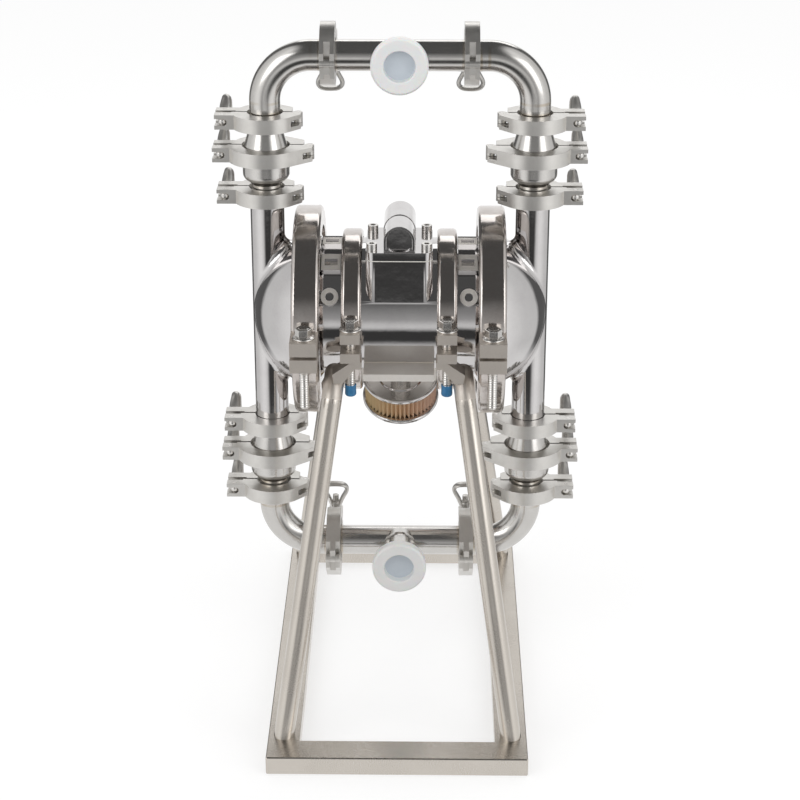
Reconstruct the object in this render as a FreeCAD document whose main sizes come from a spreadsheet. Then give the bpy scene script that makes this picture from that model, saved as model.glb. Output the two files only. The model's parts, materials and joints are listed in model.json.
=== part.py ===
import FreeCAD, Part
import Sketcher
import math
import os
import re
from FreeCAD import Placement, Rotation, Vector

# Stainless double diaphragm pump on a four-legged stand.
# The pump axis runs along X, the two valve stacks stand at its ends along Z,
# the ports face the front (-Y), and the origin is on the floor under the middle.

doc = FreeCAD.newDocument("DiaphragmPump")

SIZES = [
    ("axis_height", 499.5, "floor to pump axis"),
    ("stack_reach", 165.0, "pump middle to valve stack axis"),
    ("riser_half", 153.5, "pump axis to the first joint of a stack"),
    ("cup_rise", 53.0, "lower joint to middle joint of a valve"),
    ("cone_rise", 41.5, "middle joint to upper joint of a valve"),
    ("elbow_rise", 79.5, "last joint of a stack to the manifold axis"),
    ("elbow_bend", 57.0, "centreline radius of the elbows"),
    ("manifold_half", 87.0, "pump middle to the joints of a manifold"),
    ("port_reach", 54.0, "manifold axis to the face of the outlet port"),
    ("inlet_reach", 80.0, "manifold axis to the face of the inlet port"),
    ("branch_trim", 0.4, "a branch is this much slimmer than the tube it grows from"),
    ("tube_od", 38.1, "elbow and manifold tube"),
    ("port_od", 44.5, "tube of a port"),
    ("riser_od", 42.4, "riser tube of a fluid chamber"),
    ("tube_wall", 1.6, "wall of every product tube"),
    ("joint_rim_od", 50.5, "rim of a small ferrule"),
    ("joint_root_od", 43.8, "small ferrule where its taper ends"),
    ("wide_rim_od", 64.0, "rim of a wide ferrule"),
    ("wide_root_od", 58.6, "wide ferrule where its taper ends"),
    ("rim_thick", 2.85, "straight edge of a ferrule rim"),
    ("taper", 0.364, "rise of a ferrule's back per unit of radius"),
    ("gasket", 2.0, "gasket between two ferrules"),
    ("cup_od", 58.2, "valve cup"),
    ("cup_floor", 15.0, "valve seat above the lower joint"),
    ("cup_round", 11.0, "height of the cup's rounded bottom"),
    ("cone_wide", 54.0, "wide end of the valve cone"),
    ("ball_od", 42.0, "valve ball"),
    ("ball_lift", 9.0, "travel of a valve ball"),
    ("rib_inner", 9.0, "stack axis to the ribs that stop a ball"),
    ("rib_thick", 3.0, "thickness of those ribs"),
    ("seat_gap", 0.3, "resting gap between loose or rubber parts and their seats"),
    ("clamp_od", 73.0, "ring of a small clamp"),
    ("wide_clamp_od", 85.0, "ring of a wide clamp"),
    ("front_bow", 4.5, "how far the front half bows out past the back half"),
    ("clamp_height", 18.0, "clamp along the tube"),
    ("clamp_split", 3.0, "gap between the halves of a clamp"),
    ("clamp_play", 0.25, "gap between a clamp and its ferrules"),
    ("ear_reach", 15.0, "bolt axis beyond the ring of a small clamp"),
    ("wide_ear_reach", 13.0, "bolt axis beyond the ring of a wide clamp"),
    ("ear_round", 9.5, "rounded end of a clamp ear"),
    ("ear_front", 18.0, "front of the ears from the split plane"),
    ("ear_back", 18.0, "back of the ears from the split plane"),
    ("ear_gap", 4.0, "split plane to the inner faces of the ears"),
    ("hinge_reach", 4.0, "hinge pin beyond the ring of a small clamp"),
    ("wide_hinge_reach", 11.5, "hinge pin beyond the ring of a wide clamp"),
    ("hinge_half", 12.5, "split plane to the faces of a hinge end"),
    ("knuckle_od", 11.0, "hinge knuckle"),
    ("tongue", 7.0, "middle tongue of a hinge and width of the bolt slot"),
    ("pin_od", 5.0, "hinge and eye pins"),
    ("bolt_od", 7.8, "swing bolt"),
    ("bolt_end", 39.0, "end of the swing bolt from the split plane"),
    ("nut_hub", 14.0, "round hub of a loop nut"),
    ("nut_hub_long", 12.0, "length of that hub"),
    ("nut_reach", 58.0, "far side of the nut's loop from the split plane"),
    ("nut_width", 37.0, "widest part of the loop"),
    ("nut_bar", 5.0, "bar of the loop"),
    ("dome_radius", 106.0, "outer radius of a fluid chamber's dome"),
    ("dome_middle", 78.0, "pump middle to the centre of that dome"),
    ("dome_wall", 2.5, "wall of the dome"),
    ("dome_blend", 9.0, "weld blend between riser and dome"),
    ("main_joint", 114.0, "pump middle to the joint of a main band"),
    ("main_flange_od", 244.0, "flanges inside a main band"),
    ("main_flange_thick", 5.5, "one of those flanges"),
    ("main_band_od", 262.0, "main band"),
    ("main_band_wide", 34.0, "main band along the axis"),
    ("main_lip_od", 212.0, "opening through the main band"),
    ("band_round", 5.0, "rounded edge of a band"),
    ("main_lug_front", 169.5, "pump axis to the front of a main lug"),
    ("main_lug_high", 19.0, "top of a main lug above the axis"),
    ("main_lug_gap", 4.0, "gap between two main lugs"),
    ("small_joint", 59.0, "pump middle to the joint of a small band"),
    ("small_flange_od", 193.0, "flanges inside a small band"),
    ("small_flange_thick", 5.0, "one of those flanges"),
    ("small_band_od", 204.0, "small band"),
    ("small_band_wide", 25.0, "small band along the axis"),
    ("small_lip_od", 184.0, "opening through the small band"),
    ("small_lug_front", 139.0, "pump axis to the front of a small lug"),
    ("small_lug_high", 18.5, "top of a small lug above the axis"),
    ("small_lug_gap", 12.0, "gap between two small lugs"),
    ("band_bolt_od", 12.0, "bolts of the bands"),
    ("band_bolt_play", 0.5, "play of a band bolt in its holes"),
    ("head_across", 18.0, "across the flats of a bolt head"),
    ("head_thick", 10.0, "hexagon of a bolt head"),
    ("head_flange_od", 27.0, "washer face of a bolt head"),
    ("head_flange", 3.0, "thickness of that face"),
    ("main_bolt_end", 72.0, "pump axis down to the end of a main bolt"),
    ("small_bolt_end", 66.0, "pump axis down to the end of a small bolt"),
    ("end_cap_od", 14.0, "blue cap on the end of a small bolt"),
    ("end_cap_high", 15.0, "height of that cap"),
    ("hub_od", 182.0, "centre housing"),
    ("hub_wall", 5.0, "wall of the centre housing"),
    ("shaft_tube_od", 44.0, "boss round the shaft inside the housing"),
    ("foot_inset", 1.0, "foot of the housing behind the rim of the main flanges"),
    ("foot_top", 40.0, "pump axis down to the top of the foot"),
    ("foot_thick", 9.0, "plate of the foot"),
    ("foot_half", 43.5, "half the width of the foot"),
    ("block_half", 41.0, "half the width of the valve block"),
    ("block_front", 82.0, "pump axis to the front of the valve block"),
    ("block_back", 15.0, "pump axis to the back of the valve block"),
    ("block_top", 92.0, "pump axis to the top of the valve block"),
    ("block_round", 11.0, "upright edges of the valve block"),
    ("cover_gasket_thick", 1.0, "gasket under the valve cover"),
    ("cover_thick", 10.5, "plate of the valve cover"),
    ("cover_screw_x", 33.5, "cover screws from the middle"),
    ("cover_screw_front", 71.0, "pump axis to the front cover screws"),
    ("cover_screw_back", 1.0, "pump axis to the back cover screws"),
    ("cover_screw_od", 8.0, "cover screws"),
    ("cover_screw_deep", 16.0, "threaded holes in the valve block"),
    ("cover_head_od", 13.0, "heads of the cover screws"),
    ("cover_head_high", 9.0, "height of those heads"),
    ("barrel_od", 38.0, "front half of the valve barrel"),
    ("barrel_rise", 13.0, "cover plate to the barrel's axis"),
    ("barrel_front", 77.0, "pump axis to the front of the barrel"),
    ("barrel_step", 32.0, "pump axis to the step of the barrel"),
    ("socket_od", 39.6, "back half of the barrel"),
    ("barrel_back", 22.0, "pump axis to the back of the barrel"),
    ("inlet_hole", 18.6, "threaded air inlet"),
    ("inlet_deep", 18.0, "depth of that thread"),
    ("spool_od", 16.0, "valve spool"),
    ("spool_long", 20.0, "length of the spool"),
    ("spool_travel", 4.0, "travel of the spool each way"),
    ("spool_middle", 56.0, "pump axis to the middle of the spool"),
    ("spool_play", 0.05, "radial play of shaft and spool"),
    ("shaft_od", 20.0, "diaphragm shaft"),
    ("bush_od", 28.0, "shaft bush"),
    ("bush_long", 20.0, "length of a bush"),
    ("stroke", 10.0, "travel of the shaft each way"),
    ("chamber_od", 168.0, "air chamber between the bands"),
    ("chamber_wall", 6.0, "wall of the air chamber"),
    ("chamber_back", 12.0, "end wall of the air chamber"),
    ("boss_top", 91.0, "pump axis to the top of a rib"),
    ("boss_wide", 26.0, "width of a rib round the chamber"),
    ("boss_step", 30.0, "degrees between two ribs"),
    ("plate_od", 104.0, "diaphragm plates"),
    ("plate_thick", 9.0, "thickness of a plate"),
    ("diaphragm_thick", 3.0, "rubber of a diaphragm"),
    ("fold_inner", 64.0, "inner radius of the diaphragm's fold"),
    ("fold_outer", 92.0, "outer radius of the diaphragm's fold"),
    ("fold_deep", 9.0, "depth of that fold"),
    ("muffler_od", 100.0, "caps of the exhaust filter"),
    ("muffler_top", 122.0, "pump axis to the upper face of the filter"),
    ("muffler_lean", 25.0, "degrees between the filter's axis and upright"),
    ("muffler_cap", 6.0, "edge of each cap"),
    ("pleat_high", 32.0, "pleated paper between the caps"),
    ("pleat_deep", 9.0, "depth of a pleat"),
    ("paper_thick", 3.0, "radial thickness of the pleated ring"),
    ("stem_od", 26.0, "pipe that carries the filter"),
    ("stem_wall", 3.0, "wall of that pipe"),
    ("cap_od", 69.5, "port cap"),
    ("cap_face", 3.5, "front of the cap from the ferrule"),
    ("cap_wall", 1.2, "wall of the well"),
    ("cap_round", 2.5, "rounded front edge of the cap"),
    ("cap_skirt", 9.0, "skirt over the ferrule"),
    ("cap_well_od", 38.0, "well in the middle of the cap"),
    ("cap_well_deep", 8.0, "depth of the well"),
    ("cap_play", 0.3, "gap between the cap and its ferrule"),
    ("base_half_width", 161.5, "middle to the side of the base"),
    ("base_half_depth", 301.0, "middle to the front of the base"),
    ("rail_wide", 40.0, "base rail, flat"),
    ("rail_high", 24.0, "base rail, height"),
    ("rail_round", 2.0, "rounded edges of a rail"),
    ("leg_od", 25.4, "leg tube"),
    ("leg_foot_depth", 247.0, "middle to a foot, front and back"),
    ("leg_top_depth", 128.0, "middle to a leg's upper corner"),
    ("leg_top_half", 79.0, "middle to the upper end of a leg"),
    ("leg_top_drop", 47.0, "pump axis down to that end"),
    ("leg_end", 98.0, "pump axis to the end of a leg under its bracket"),
    ("leg_bend", 35.0, "bend at the top of a leg"),
    ("bracket_thick", 9.5, "bent bracket under a small lug"),
    ("bracket_deep", 28.0, "bracket along the leg's top run"),
    ("bracket_inner", 45.5, "middle to the inner end of a bracket"),
    ("bracket_bend", 57.0, "middle to the bend of a bracket"),
]
ALIASES = {alias for alias, value, note in SIZES}

sheet = doc.addObject("Spreadsheet::Sheet", "Sizes")
for row, (alias, value, note) in enumerate(SIZES, start=1):
    sheet.set("A%d" % row, note)
    sheet.set("B%d" % row, str(value))
    sheet.setAlias("B%d" % row, alias)
doc.recompute()

AXES = {"x": Vector(1, 0, 0), "y": Vector(0, 1, 0), "z": Vector(0, 0, 1)}
FACING = {
    "+z": Rotation(),
    "-z": Rotation(AXES["x"], 180),
    "+x": Rotation(AXES["y"], 90),
    "-x": Rotation(AXES["y"], -90),
    "+y": Rotation(AXES["x"], -90),
    "-y": Rotation(AXES["x"], 90),
}
BACK_TO_FRONT = Rotation(AXES["z"], 180)
MIDDLE = ("0", "0", "0")


# Expressions and their values

def bound(text):
    """The same expression with the sheet named before each of its sizes."""
    return re.sub(r"[a-z_]+", lambda word: "Sizes." + word[0] if word[0] in ALIASES else word[0], text)


def size(text):
    """Value of an expression over the sheet's sizes."""
    return float(sheet.evalExpression(bound(text)))


def bind(piece, **properties):
    for name, text in properties.items():
        piece.setExpression(name, bound(text))
    return piece


def place(piece, at, turn=None):
    piece.Placement = Placement(Vector(), turn or Rotation())
    for letter, text in zip("xyz", at):
        piece.setExpression("Placement.Base." + letter, bound(text))
    return piece


# Primitives and booleans

def cylinder(name, radius, length, at=MIDDLE, facing="+z"):
    piece = doc.addObject("Part::Cylinder", name)
    return place(bind(piece, Radius=radius, Height=length), at, FACING[facing])


def sphere(name, radius, at=MIDDLE):
    piece = doc.addObject("Part::Sphere", name)
    return place(bind(piece, Radius=radius), at)


def block(name, low, high):
    """Box between two corners."""
    piece = doc.addObject("Part::Box", name)
    spans = ["(%s) - (%s)" % (top, bottom) for bottom, top in zip(low, high)]
    return place(bind(piece, Length=spans[0], Width=spans[1], Height=spans[2]), low)


def hexagon(name, across, height, at):
    """Hexagonal bar with two flats facing front and back."""
    piece = doc.addObject("Part::Prism", name)
    piece.Polygon = 6
    return place(bind(piece, Circumradius="(%s) / 2 / cos(30)" % across, Height=height), at)


def bend(name, ring_radius, tube_radius, angle, at, turn):
    """Part of a torus that starts on its local X axis."""
    piece = doc.addObject("Part::Torus", name)
    bind(piece, Radius1=ring_radius, Radius2=tube_radius, Angle3=angle)
    return place(piece, at, turn)


def fuse(name, pieces):
    piece = doc.addObject("Part::MultiFuse", name)
    piece.Shapes = pieces
    piece.Refine = True
    return piece


def cut(name, base, tools):
    piece = doc.addObject("Part::Cut", name)
    piece.Base = base
    piece.Tool = tools[0] if len(tools) == 1 else fuse(name + "_tools", tools)
    piece.Refine = True
    return piece


def common(name, first, second):
    piece = doc.addObject("Part::Common", name)
    piece.Base = first
    piece.Tool = second
    return piece


def rounded(name, base, radius, chosen):
    """Fillet of the edges that a rule picks on the finished base."""
    doc.recompute()
    piece = doc.addObject("Part::Fillet", name)
    piece.Base = base
    value = size(radius)
    edges = enumerate(base.Shape.Edges, start=1)
    piece.Edges = [(number, value, value) for number, edge in edges if chosen(edge)]
    return piece


def copy(name, source, at=MIDDLE, turn=None):
    piece = doc.addObject("App::Link", name)
    piece.LinkedObject = source
    piece.LinkTransform = True
    return place(piece, at, turn)


NODES = []


def node(name, piece):
    """A named sub-part. A list becomes one group of separate solids."""
    if isinstance(piece, list):
        group = doc.addObject("Part::Compound", name)
        group.Links = piece
        piece = group
    piece.Label = name
    NODES.append(piece)
    return piece


# Sketched bodies

def outline(body, name, plane, points):
    """Closed polygon whose corners are bound to the sheet."""
    sketch = body.newObject("Sketcher::SketchObject", name)
    planes = {feature.Role: feature for feature in body.Origin.OriginFeatures}
    sketch.AttachmentSupport = [(planes[plane], "")]
    sketch.MapMode = "FlatFace"
    values = [(size(across), size(up)) for across, up in points]
    for start, end in zip(values, values[1:] + values[:1]):
        sketch.addGeometry(Part.LineSegment(Vector(*start, 0), Vector(*end, 0)))
    count = len(points)
    for corner in range(count):
        sketch.addConstraint(Sketcher.Constraint("Coincident", corner, 2, (corner + 1) % count, 1))
    for corner, (texts, value) in enumerate(zip(points, values)):
        for kind, axis, text, number in zip(("DistanceX", "DistanceY"), (-2, -1), texts, value):
            if text == "0":
                sketch.addConstraint(Sketcher.Constraint("PointOnObject", corner, 1, axis))
                continue
            index = sketch.addConstraint(Sketcher.Constraint(kind, -1, 1, corner, 1, number))
            sketch.setExpression("Constraints[%d]" % index, bound(text))
    return sketch


def turned(name, points, at=MIDDLE, facing="+z", angle=360):
    """Body of revolution about its own Z axis from (radius, height) corners."""
    body = doc.addObject("PartDesign::Body", name)
    sketch = outline(body, name + "_outline", "XZ_Plane", points)
    revolution = body.newObject("PartDesign::Revolution", name + "_turn")
    revolution.Profile = sketch
    revolution.ReferenceAxis = (sketch, ["V_Axis"])
    revolution.Angle = angle
    body.Tip = revolution
    return place(body, at, FACING[facing])


def plate(name, plane, points, thickness, at=MIDDLE):
    """Body of one thickness, even about its sketch plane."""
    body = doc.addObject("PartDesign::Body", name)
    sketch = outline(body, name + "_outline", plane, points)
    pad = body.newObject("PartDesign::Pad", name + "_pad")
    pad.Profile = sketch
    pad.Midplane = True
    pad.setExpression("Length", bound(thickness))
    body.Tip = pad
    return place(body, at)


# Ferrules: outline of the flared end of a tube whose joint is at height 0

def ferrule(rim, root, tube):
    """Corners from the face outwards, along the back, to the tube."""
    rim_radius, root_radius, tube_radius = "%s / 2" % rim, "%s / 2" % root, "%s / 2" % tube
    back = "gasket / 2 + rim_thick + (%s - %s) / 2 * taper" % (rim, root)
    return [
        (rim_radius, "gasket / 2"),
        (rim_radius, "gasket / 2 + rim_thick"),
        (root_radius, back),
        (tube_radius, back + " + 2"),
    ]


SMALL = ("joint_rim_od", "joint_root_od")
WIDE = ("wide_rim_od", "wide_root_od")


# Valve stacks: a cup with the seat, a cone above it, and a joint at each end

RIGHT = "stack_reach"
LEFT = "-stack_reach"
OUTLET_SEAT = "axis_height + riser_half"
INLET_SEAT = "axis_height - riser_half - cone_rise - cup_rise"
OUTLET_AXIS = "axis_height + riser_half + cup_rise + cone_rise + elbow_rise"
INLET_AXIS = "axis_height - riser_half - cone_rise - cup_rise - elbow_rise"
TUBE_BORE = "(tube_od / 2 - tube_wall)"
PORT_BORE = "(port_od / 2 - tube_wall)"
CUP_BORE = "(cup_od / 2 - tube_wall)"
BALL_REST = "cup_floor + sqrt((ball_od / 2)^2 - %s^2) + seat_gap" % TUBE_BORE
RIB_FOOT = "%s + ball_od / 2 + ball_lift + seat_gap - cup_rise" % BALL_REST
SIDES = (("right", RIGHT, Rotation()), ("left", LEFT, BACK_TO_FRONT))


def valve_cup():
    wide_end = [(across, "cup_rise - (%s)" % up) for across, up in reversed(ferrule(*WIDE, "cup_od"))]
    return turned("valve_cup", [
        (TUBE_BORE, "gasket / 2"),
        *ferrule(*SMALL, "tube_od"),
        ("tube_od / 2", "cup_floor - tube_wall"),
        ("cup_od / 2 - 4", "cup_floor + cup_round / 2 - 3"),
        ("cup_od / 2", "cup_floor + cup_round"),
        *wide_end,
        (CUP_BORE, "cup_rise - gasket / 2"),
        (CUP_BORE, "cup_floor + cup_round"),
        (CUP_BORE + " - 3.5", "cup_floor + cup_round / 2"),
        ("tube_od / 2 + 1", "cup_floor + 1.5"),
        (TUBE_BORE, "cup_floor"),
    ])


def valve_cone():
    """The cone has three ribs inside that stop the ball and let the flow pass."""
    small_end = [(across, "cone_rise - (%s)" % up) for across, up in reversed(ferrule(*SMALL, "tube_od"))]
    foot = ferrule(*WIDE, "cone_wide")
    shell = turned("valve_cone_shell", [
        ("cone_wide / 2 - tube_wall", "gasket / 2"),
        *foot,
        *small_end,
        (TUBE_BORE, "cone_rise - gasket / 2"),
        (TUBE_BORE, small_end[0][1]),
        ("cone_wide / 2 - tube_wall", foot[-1][1]),
    ])
    rib = plate("valve_cone_rib", "XZ_Plane", [
        ("rib_inner", RIB_FOOT),
        ("cone_wide / 2 - tube_wall / 2", RIB_FOOT),
        ("tube_od / 2 - tube_wall / 2", small_end[0][1]),
        ("rib_inner", small_end[0][1]),
    ], "rib_thick")
    ribs = [copy("valve_cone_rib_%d" % turn, rib, MIDDLE, Rotation(AXES["z"], turn)) for turn in (90, 210, 330)]
    return fuse("valve_cone", [shell] + ribs)


cup = valve_cup()
cone = valve_cone()
cups, cones = [], []
for level, seat in (("outlet", OUTLET_SEAT), ("inlet", INLET_SEAT)):
    for side, reach, turn in SIDES:
        label = "%s_%s" % (level, side)
        cups.append(copy("cup_" + label, cup, (reach, "0", seat)))
        cones.append(copy("cone_" + label, cone, (reach, "0", seat + " + cup_rise")))
        ball = sphere("ball_" + label, "ball_od / 2", (reach, "0", "%s + %s" % (seat, BALL_REST)))
        node("%s_ball_%s" % (level, side), ball)
node("valve_cups", cups)
node("valve_cones", cones)


# Elbows and tees

def end_disc(name, kind, tube, at, facing):
    """Solid ferrule whose joint lies at the given point, with the tube on its far side."""
    corners = ferrule(*kind, tube)
    return turned(name, [("0", corners[0][1]), *corners, ("0", corners[-1][1])], at, facing)


def elbow(name, manifold_kind):
    """Quarter bend from a stack joint at the origin up and inwards to the manifold joint."""
    upright = "elbow_rise - elbow_bend"
    across = "stack_reach - elbow_bend - manifold_half - gasket / 2"
    inner_end = ("-elbow_bend - (%s)" % across, "0", "elbow_rise")
    swing = Rotation(AXES["x"], 90)

    def run(part, radius):
        return [
            cylinder(name + part + "_up", radius, upright + " - gasket / 2", ("0", "0", "gasket / 2")),
            bend(name + part + "_bend", "elbow_bend", radius, "90", ("-elbow_bend", "0", upright), swing),
            place(cylinder(name + part + "_in", radius, across), inner_end, FACING["+x"] * Rotation(AXES["z"], 90)),
        ]

    ends = [
        end_disc(name + "_foot", SMALL, "tube_od", MIDDLE, "+z"),
        end_disc(name + "_end", manifold_kind, "tube_od", ("manifold_half - stack_reach", "0", "elbow_rise"), "+x"),
    ]
    outside = fuse(name + "_outside", run("_tube", "tube_od / 2") + ends)
    return cut(name, outside, run("_bore", TUBE_BORE))


outlet_elbow = elbow("outlet_elbow", SMALL)
inlet_elbow = elbow("inlet_elbow", WIDE)
OUTLET_TOP = "axis_height + riser_half + cup_rise + cone_rise"
upside_down = Rotation(AXES["x"], 180)
node("outlet_elbows", [
    copy("outlet_elbow_" + side, outlet_elbow, (reach, "0", OUTLET_TOP), turn) for side, reach, turn in SIDES
])
node("inlet_elbows", [
    copy("inlet_elbow_" + side, inlet_elbow, (reach, "0", INLET_SEAT), turn * upside_down)
    for side, reach, turn in SIDES
])


def tee(name, kind, level, reach):
    """Manifold tube with its port to the front, where the branch widens towards the port."""
    half = "manifold_half - gasket / 2"
    face = ("0", "-%s - gasket / 2" % reach, level)
    spread = "(%s / 3)" % reach

    def run(part, wall):
        radius, port = "tube_od / 2 - " + wall, "port_od / 2 - " + wall
        branch = radius + " - branch_trim"
        cone = doc.addObject("Part::Cone", name + part + "_cone")
        bind(cone, Radius1=branch, Radius2=port, Height=spread)
        return [
            cylinder(name + part + "_run", radius, "2 * (%s)" % half, ("-(%s)" % half, "0", level), "+x"),
            cylinder(name + part + "_neck", branch, spread, ("0", "0", level), "-y"),
            place(cone, ("0", "-" + spread, level), FACING["-y"]),
            cylinder(name + part + "_port", port, spread, ("0", "-2 * " + spread, level), "-y"),
        ]

    ends = [
        end_disc(name + "_left", kind, "tube_od", ("-manifold_half", "0", level), "+x"),
        end_disc(name + "_right", kind, "tube_od", ("manifold_half", "0", level), "-x"),
        end_disc(name + "_face", WIDE, "port_od", face, "+y"),
    ]
    outside = fuse(name + "_outside", run("_tube", "0") + ends)
    return node(name, cut(name, outside, run("_bore", "tube_wall")))


tee("outlet_tee", SMALL, OUTLET_AXIS, "port_reach")
tee("inlet_tee", WIDE, INLET_AXIS, "inlet_reach")


# Port caps: a skirt over the ferrule and a well that plugs the bore

def port_cap(name, level, reach):
    well = "cap_well_od / 2"
    plug = well + " + cap_wall"
    collar = "wide_rim_od / 2 + cap_play"
    cap = turned(name, [
        ("0", "-cap_well_deep - cap_wall"),
        (plug, "-cap_well_deep - cap_wall"),
        (plug, "cap_play"),
        (collar, "cap_play"),
        (collar, "-cap_skirt"),
        ("cap_od / 2", "-cap_skirt"),
        ("cap_od / 2", "cap_face - cap_round"),
        ("cap_od / 2 - cap_round", "cap_face"),
        (well + " + 1", "cap_face"),
        (well, "cap_face - 1"),
        (well, "-cap_well_deep"),
        ("0", "-cap_well_deep"),
    ], ("0", "-" + reach, level), "-y")
    return node(name, cap)


port_cap("outlet_cap", OUTLET_AXIS, "port_reach")
port_cap("inlet_cap", INLET_AXIS, "inlet_reach")


# Fluid chambers: a dome with the riser tube through its outer end

FLANGE_OUT = "main_joint + diaphragm_thick / 2"


def fluid_chamber():
    level = ("dome_middle", "0", "0")
    reach = "dome_radius - main_joint + dome_middle + 10"
    ball = sphere("dome_ball", "dome_radius", level)
    dome = common("dome", ball, cylinder("dome_reach", "dome_radius", reach, (FLANGE_OUT, "0", "0"), "+x"))
    riser_half = "riser_half - gasket / 2"
    riser_foot = ("stack_reach", "0", "-(%s)" % riser_half)
    riser = cylinder("riser", "riser_od / 2", "2 * (%s)" % riser_half, riser_foot)
    middle = size("stack_reach")
    seam_low, seam_high = size("main_joint + main_flange_thick + 4"), size("stack_reach + riser_od / 2")

    def seam(edge):
        box = edge.BoundBox
        return box.XLength > 20 and box.ZLength > 60 and box.XMin > seam_low and box.XMax < seam_high

    blended = rounded("dome_blended", fuse("dome_and_riser", [dome, riser]), "dome_blend", seam)
    outside = fuse("chamber_outside", [
        blended,
        cylinder("chamber_flange", "main_flange_od / 2", "main_flange_thick", (FLANGE_OUT, "0", "0"), "+x"),
        end_disc("riser_top", SMALL, "riser_od", ("stack_reach", "0", "riser_half"), "-z"),
        end_disc("riser_bottom", SMALL, "riser_od", ("stack_reach", "0", "-riser_half"), "+z"),
    ])
    return cut("fluid_chamber", outside, [
        sphere("dome_inside", "dome_radius - dome_wall", level),
        cylinder("riser_bore", "riser_od / 2 - tube_wall", "2 * (%s)" % riser_half, riser_foot),
    ])


chamber = fluid_chamber()
for side, reach, turn in SIDES:
    node("fluid_chamber_" + side, [copy("fluid_chamber_at_" + side, chamber, ("0", "0", "axis_height"), turn)])


# Air chambers, with ribs round the upper side of their waist

def air_chamber():
    flange_low = "main_joint - diaphragm_thick / 2 - main_flange_thick"
    face = "main_joint - diaphragm_thick / 2"
    waist = "chamber_od / 2"
    flare = "main_lip_od / 2 - 3"
    shell = turned("air_chamber_shell", [
        ("shaft_od / 2 + 2", "small_joint"),
        ("small_flange_od / 2", "small_joint"),
        ("small_flange_od / 2", "small_joint + small_flange_thick"),
        ("small_lip_od / 2 - 1", "small_joint + small_flange_thick"),
        (waist, "small_joint + small_flange_thick + 2"),
        (waist, flange_low + " - 13"),
        (flare, flange_low + " - 3"),
        (flare, flange_low),
        ("main_flange_od / 2", flange_low),
        ("main_flange_od / 2", face),
        ("fold_outer + 5", face),
        (waist + " - chamber_wall", flange_low + " - 11"),
        (waist + " - chamber_wall", "small_joint + chamber_back"),
        ("shaft_od / 2 + 2", "small_joint + chamber_back"),
    ], MIDDLE, "+x")
    inner_end = "small_joint + small_band_wide / 2 + 1"
    outer_end = "main_joint - main_band_wide / 2 - 0.5"
    root = "chamber_od / 2 - 3"
    rib = cut("rib", block("rib_block", (inner_end, "-boss_wide / 2", root), (outer_end, "boss_wide / 2", "boss_top")), [
        block("rib_slot", (inner_end + " + 4", "-boss_wide / 5", "boss_top - 3"),
              (outer_end + " - 4", "boss_wide / 5", "boss_top + 1"))])
    pad = cut("pad", cylinder("pad_round", "boss_wide / 2 - 2", "boss_top - (%s)" % root,
                              (outer_end + " - boss_wide / 2 + 2", "0", root)), [
        cylinder("pad_hole", "boss_wide / 5", "4", (outer_end + " - boss_wide / 2 + 2", "0", "boss_top - 3"))])
    pieces = [shell]
    for step in (-2, -1, 0, 1, 2):
        source = rib if abs(step) < 2 else pad
        turn = Rotation(AXES["x"], step * size("boss_step"))
        pieces.append(copy("%s_at_%d" % (source.Name, step + 2), source, MIDDLE, turn))
    return fuse("air_chamber", pieces)


waist = air_chamber()
for side, reach, turn in SIDES:
    node("air_chamber_" + side, [copy("air_chamber_at_" + side, waist, ("0", "0", "axis_height"), turn)])


# Shaft, its bushes, and a diaphragm between two plates at each end

def diaphragm():
    air, fluid = "main_joint - diaphragm_thick / 2", "main_joint + diaphragm_thick / 2"
    slope = "fold_deep * 0.6"
    return turned("diaphragm", [
        ("shaft_od / 2 + spool_play", air),
        ("fold_inner", air),
        ("fold_inner + " + slope, air + " - fold_deep"),
        ("fold_outer - " + slope, air + " - fold_deep"),
        ("fold_outer", air),
        ("main_flange_od / 2 - 0.5", air),
        ("main_flange_od / 2 - 0.5", fluid),
        ("fold_outer - diaphragm_thick / 2", fluid),
        ("fold_outer - diaphragm_thick / 2 - " + slope, fluid + " - fold_deep"),
        ("fold_inner + diaphragm_thick / 2 + " + slope, fluid + " - fold_deep"),
        ("fold_inner + diaphragm_thick / 2", fluid),
        ("shaft_od / 2 + spool_play", fluid),
    ], MIDDLE, "+x")


def diaphragm_plate(name, face, back):
    """Disc with a sloped rim, flat side on the rubber."""
    return turned(name, [
        ("shaft_od / 2 + spool_play", face),
        ("plate_od / 2", face),
        ("plate_od / 2 - 2", "(%s + %s) / 2" % (face, back)),
        ("plate_od / 3", back),
        ("shaft_od / 2 + spool_play", back),
    ], MIDDLE, "+x")


rubber = diaphragm()
AIR_FACE = "(main_joint - diaphragm_thick / 2)"
FLUID_FACE = "(main_joint + diaphragm_thick / 2)"
air_plate = diaphragm_plate("air_plate", AIR_FACE, AIR_FACE + " - plate_thick")
fluid_plate = diaphragm_plate("fluid_plate", FLUID_FACE, FLUID_FACE + " + plate_thick")
bush = turned("bush", [
    ("shaft_od / 2 + spool_play", "small_joint - bush_long"),
    ("bush_od / 2", "small_joint - bush_long"),
    ("bush_od / 2", "small_joint"),
    ("shaft_od / 2 + spool_play", "small_joint"),
], MIDDLE, "+x")
plates, bushes = [], []
for side, reach, turn in SIDES:
    at = ("0", "0", "axis_height")
    node("diaphragm_" + side, [copy("diaphragm_at_" + side, rubber, at, turn)])
    plates += [copy("air_plate_" + side, air_plate, at, turn), copy("fluid_plate_" + side, fluid_plate, at, turn)]
    bushes.append(copy("bush_" + side, bush, at, turn))
SHAFT_HALF = FLUID_FACE + " + plate_thick"
shaft = cylinder("shaft", "shaft_od / 2", "2 * (%s)" % SHAFT_HALF, ("-(%s)" % SHAFT_HALF, "0", "axis_height"), "+x")
node("diaphragm_shaft", shaft)
node("diaphragm_plates", plates)
node("shaft_bushes", bushes)


# Centre housing: hollow drum with the valve block on top and a foot in front and behind

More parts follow.
